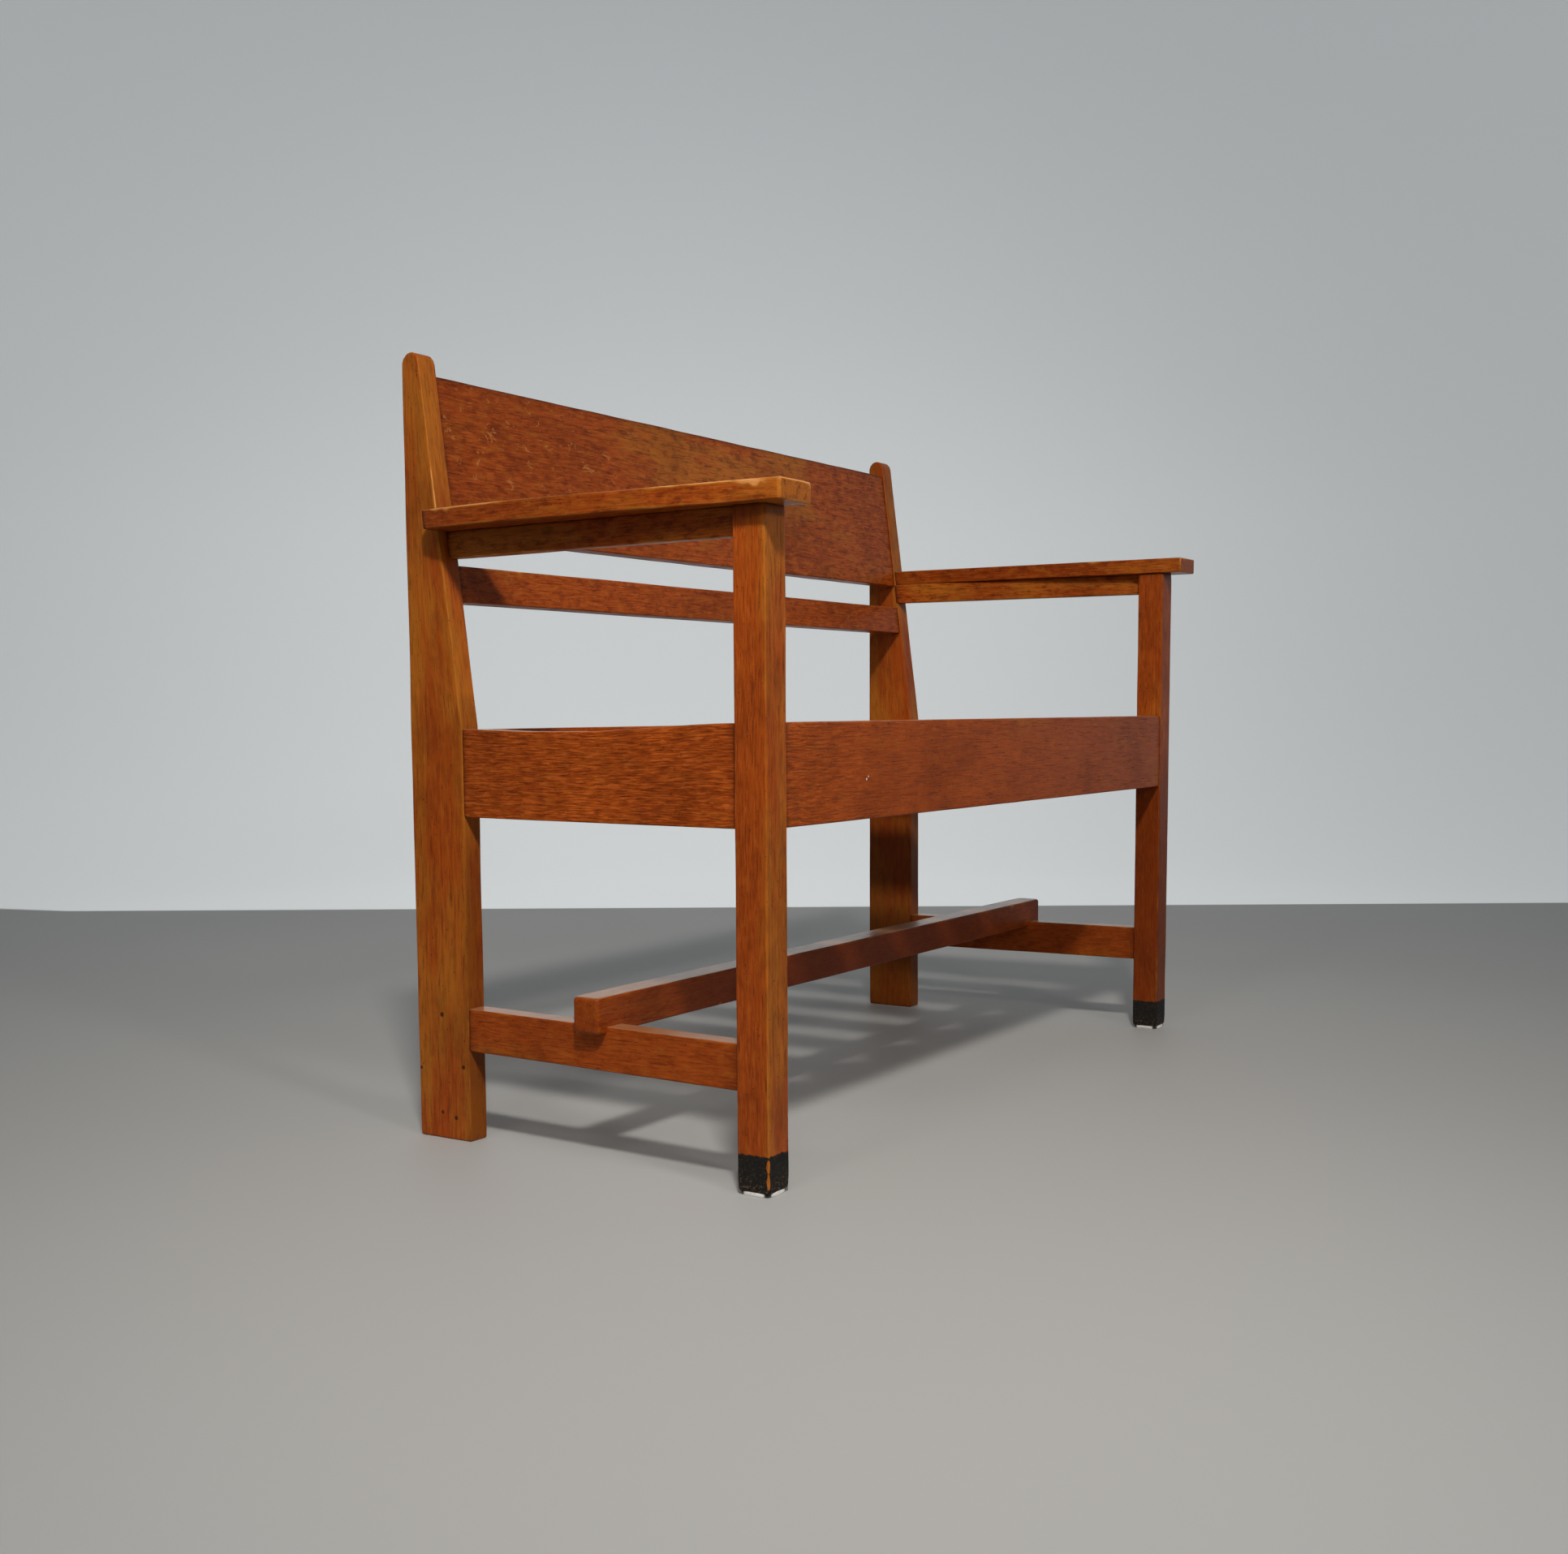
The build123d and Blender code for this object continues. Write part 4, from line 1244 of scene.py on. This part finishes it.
def foot_pads():
    """Both pads as one piece: flat boxes whose soft rims bulge out past the legs between their
    corners, where the black paint has run on to them."""
    points, quads, painted = [], [], []
    width = pads_high[1] - pads_low[1]
    thickness = pads_high[2] - pads_low[2]
    middle_x, middle_y = pads_low[0] + width / 2, (pads_low[1] + pads_high[1]) / 2
    size = np.array([width, width, thickness])
    for number, side in enumerate((LEFT, RIGHT)):
        box, faces = box_surface(size, 0.002)
        radius = 0.0006 + 0.0006 * ripple(box, 0.008, 5 + number)
        soft = softened(box, size / 2, radius)
        near_corner = np.abs(box[:, :2]).min(axis=1) / (width / 2)
        swell = 0.6 + 0.4 * ripple(box, 0.02, 9 + number)
        bulge = PAD_BULGE * np.clip(1 - near_corner**2, 0, 1) * swell
        outward_scale = 1 + (bulge - 0.0004)[:, None] / (width / 2) * np.array([1, 1, 0])
        painted.append(rise(near_corner - 0.1 * ripple(box, 0.01, 3), 0.60, 0.68))
        laid = soft * outward_scale + np.array([-side * middle_x, middle_y, thickness / 2])
        laid[:, 2] += rise(soft[:, 2], 0, thickness) * bulge * under_edge(soft, width)
        quads.append(outward(laid, faces) + sum(len(p) for p in points))
        points.append(laid)
    layers = {"painted": np.concatenate(painted)}
    piece = new_piece(
        "felt_foot_pads", np.concatenate(points), np.concatenate(quads), layers, "felt_pads"
    )
    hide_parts("foot_pads")
    return piece


# Stage


def sweep_floor():
    """A round studio floor: a profile, flat, then a quarter circle up, then upright, turned about
    the upright axis. Its middle is closed by one point."""
    set_up = studio()
    turn = np.linspace(0, np.pi / 2, TURN_STEPS + 1)
    flat = np.linspace(MIDDLE_RADIUS, set_up.floor_radius, FLAT_STEPS + 1)
    radii = [*flat, *(set_up.floor_radius + set_up.sweep_radius * np.sin(turn[1:]))]
    heights = [*(0 * flat), *(set_up.sweep_radius * (1 - np.cos(turn[1:])))]
    radii.append(radii[-1])
    heights.append(heights[-1] + set_up.wall_height)
    around = np.linspace(0, 2 * np.pi, ROUND_STEPS + 1)[:-1]
    r, angle = np.meshgrid(radii, around, indexing="ij")
    z = np.repeat(np.array(heights)[:, None], len(around), 1)
    grid = np.stack([r * np.cos(angle), r * np.sin(angle), z], -1).reshape(-1, 3)
    points = np.concatenate([grid, [[0, 0, 0]]])
    number = np.arange(r.size).reshape(r.shape)
    later = np.roll(number, -1, axis=1)
    quads = np.stack([number[:-1], number[1:], later[1:], later[:-1]], -1).reshape(-1, 4)
    middle = np.stack([np.full(len(around), r.size), number[0], later[0]], -1)
    mesh = bpy.data.meshes.new("studio_floor")
    mesh.from_pydata(points.tolist(), [], quads.tolist() + middle.tolist())
    mesh.shade_smooth()
    mesh.materials.append(material("floor"))
    floor = bpy.data.objects.new("studio_floor", mesh)
    bpy.context.scene.collection.objects.link(floor)


def lamp(name, power, target):
    """A square soft lamp that looks at its target and that the camera doesn't see."""
    direction, distance, size, tint = LAMPS[name]
    data = bpy.data.lights.new(f"{name}_lamp", "AREA")
    data.shape, data.size, data.energy, data.color = "SQUARE", size, power, tint
    data.spread = studio().spread
    back = Vector(direction).normalized()
    seat = Matrix.Translation(Vector(target) + back * distance)
    lamp_object = bpy.data.objects.new(f"{name}_lamp", data)
    lamp_object.matrix_world = seat @ (-back).to_track_quat("-Z", "Y").to_matrix().to_4x4()
    lamp_object.visible_camera = False
    bpy.context.scene.collection.objects.link(lamp_object)


def camera():
    """The camera at the photograph's viewing angle: its axes follow from yaw, pitch and roll."""
    set_up = studio()
    yaw, pitch, roll = set_up.yaw, set_up.pitch, set_up.roll
    heading = Vector((math.sin(yaw), math.cos(yaw), 0))
    level = Vector((math.cos(yaw), -math.sin(yaw), 0))
    forward = heading * math.cos(pitch) + Vector((0, 0, math.sin(pitch)))
    upright = level.cross(forward)
    right = level * math.cos(roll) + upright * math.sin(roll)
    up = upright * math.cos(roll) - level * math.sin(roll)
    data = bpy.data.cameras.new("camera")
    data.sensor_fit, data.sensor_width = "HORIZONTAL", set_up.sensor
    data.lens = set_up.focal / PHOTO_WIDTH * set_up.sensor
    data.shift_y = (set_up.axis_height - PHOTO_HEIGHT / 2) / PHOTO_WIDTH
    seen = bpy.data.objects.new("camera", data)
    turn = Matrix((right, up, -forward)).transposed()
    seen.matrix_world = Matrix.Translation(set_up.camera_place) @ turn.to_4x4()
    bpy.context.scene.collection.objects.link(seen)
    bpy.context.scene.camera = seen


class SETTLE_OT_studio(bpy.types.Operator):
    """Set up the floor, the lamps and the camera"""

    bl_idname = "settle.studio"
    bl_label = "Studio"

    def execute(self, context):
        set_up = studio()
        sweep_floor()
        camera()
        for name in LAMPS:
            target = set_up.floor_target if name == "floor" else set_up.lamp_target
            lamp(name, getattr(set_up, f"{name}_power"), target)
        world = bpy.data.worlds.new("studio_light")
        world.use_nodes = True
        background = world.node_tree.nodes["Background"]
        background.inputs["Color"].default_value = colour(set_up.sky)
        background.inputs["Strength"].default_value = set_up.sky_strength
        context.scene.world = world
        context.scene.view_settings.view_transform = "Standard"
        return {"FINISHED"}


class SETTLE_OT_front_legs(bpy.types.Operator):
    """Make the two front legs with their black feet"""

    bl_idname = "settle.front_legs"
    bl_label = "Front Legs"

    def execute(self, context):
        for side_name in SIDES:
            front_leg(side_name).build()
        return {"FINISHED"}


class SETTLE_OT_rear_legs(bpy.types.Operator):
    """Make the two raked, round-topped rear legs"""

    bl_idname = "settle.rear_legs"
    bl_label = "Rear Legs"

    def execute(self, context):
        for side_name in SIDES:
            rear_leg(side_name).build()
        return {"FINISHED"}


class SETTLE_OT_seat_rails(bpy.types.Operator):
    """Make the four seat rails"""

    bl_idname = "settle.seat_rails"
    bl_label = "Seat Rails"

    def execute(self, context):
        front_seat_rail().build()
        rear_seat_rail().build()
        for side_name in SIDES:
            side_seat_rail(side_name).build()
        return {"FINISHED"}


class SETTLE_OT_back(bpy.types.Operator):
    """Make the back panel and the slat under it"""

    bl_idname = "settle.back"
    bl_label = "Back"

    def execute(self, context):
        back_panel().build()
        back_slat().build()
        return {"FINISHED"}


class SETTLE_OT_arms(bpy.types.Operator):
    """Make the arm boards and the rails under them"""

    bl_idname = "settle.arms"
    bl_label = "Arms"

    def execute(self, context):
        for side_name in SIDES:
            arm(side_name).build()
            arm_rail(side_name).build()
        return {"FINISHED"}


class SETTLE_OT_stretchers(bpy.types.Operator):
    """Make the two side stretchers and the long one"""

    bl_idname = "settle.stretchers"
    bl_label = "Stretchers"

    def execute(self, context):
        long_stretcher().build()
        for side_name in SIDES:
            side_stretcher(side_name).build()
        return {"FINISHED"}


class SETTLE_OT_foot_pads(bpy.types.Operator):
    """Make the pads under the front legs"""

    bl_idname = "settle.foot_pads"
    bl_label = "Foot Pads"

    def execute(self, context):
        foot_pads()
        return {"FINISHED"}


class SETTLE_OT_deck(bpy.types.Operator):
    """Finish the seat slats, their cleats and the glue blocks"""

    bl_idname = "settle.deck"
    bl_label = "Seat Deck"

    def execute(self, context):
        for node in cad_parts:
            for part, finish in DECK_PARTS.items():
                if part in node:
                    dress(node, finish)
        return {"FINISHED"}


class SETTLE_OT_fasteners(bpy.types.Operator):
    """Finish the screws and the pins"""

    bl_idname = "settle.fasteners"
    bl_label = "Fasteners"

    def execute(self, context):
        for node in ("slat_screws", "cleat_screws", "stretcher_screws"):
            dress(node, "screw_steel")
        dress("tenon_pins", "pin_steel")
        return {"FINISHED"}


class SETTLE_PT_panel(bpy.types.Panel):
    """Lists the steps that dress the settle, and its sizes, finishes and studio"""

    bl_idname = "SETTLE_PT_panel"
    bl_label = "Settle"
    bl_space_type = "VIEW_3D"
    bl_region_type = "UI"
    bl_category = "Settle"

    def draw(self, context):
        for operator in OPERATORS:
            self.layout.operator(operator.bl_idname)
        for group in (sizes(), finishes(), studio()):
            box = self.layout.box()
            for name in group.__annotations__:
                box.prop(group, name)


OPERATORS = (
    SETTLE_OT_studio,
    SETTLE_OT_front_legs,
    SETTLE_OT_rear_legs,
    SETTLE_OT_seat_rails,
    SETTLE_OT_back,
    SETTLE_OT_arms,
    SETTLE_OT_stretchers,
    SETTLE_OT_foot_pads,
    SETTLE_OT_deck,
    SETTLE_OT_fasteners,
)
CLASSES = (SettleSizes, SettleFinishes, SettleStudio, *OPERATORS, SETTLE_PT_panel)


def register():
    for made in CLASSES:
        bpy.utils.register_class(made)
    bpy.types.Scene.settle_sizes = PointerProperty(type=SettleSizes)
    bpy.types.Scene.settle_finishes = PointerProperty(type=SettleFinishes)
    bpy.types.Scene.settle_studio = PointerProperty(type=SettleStudio)


def unregister():
    del bpy.types.Scene.settle_sizes
    del bpy.types.Scene.settle_finishes
    del bpy.types.Scene.settle_studio
    for made in reversed(CLASSES):
        bpy.utils.unregister_class(made)


def main():
    """Registers the add-on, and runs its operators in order."""
    register()
    for operator in OPERATORS:
        group, name = operator.bl_idname.split(".")
        getattr(getattr(bpy.ops, group), name)()


if __name__ == "__main__":
    main()
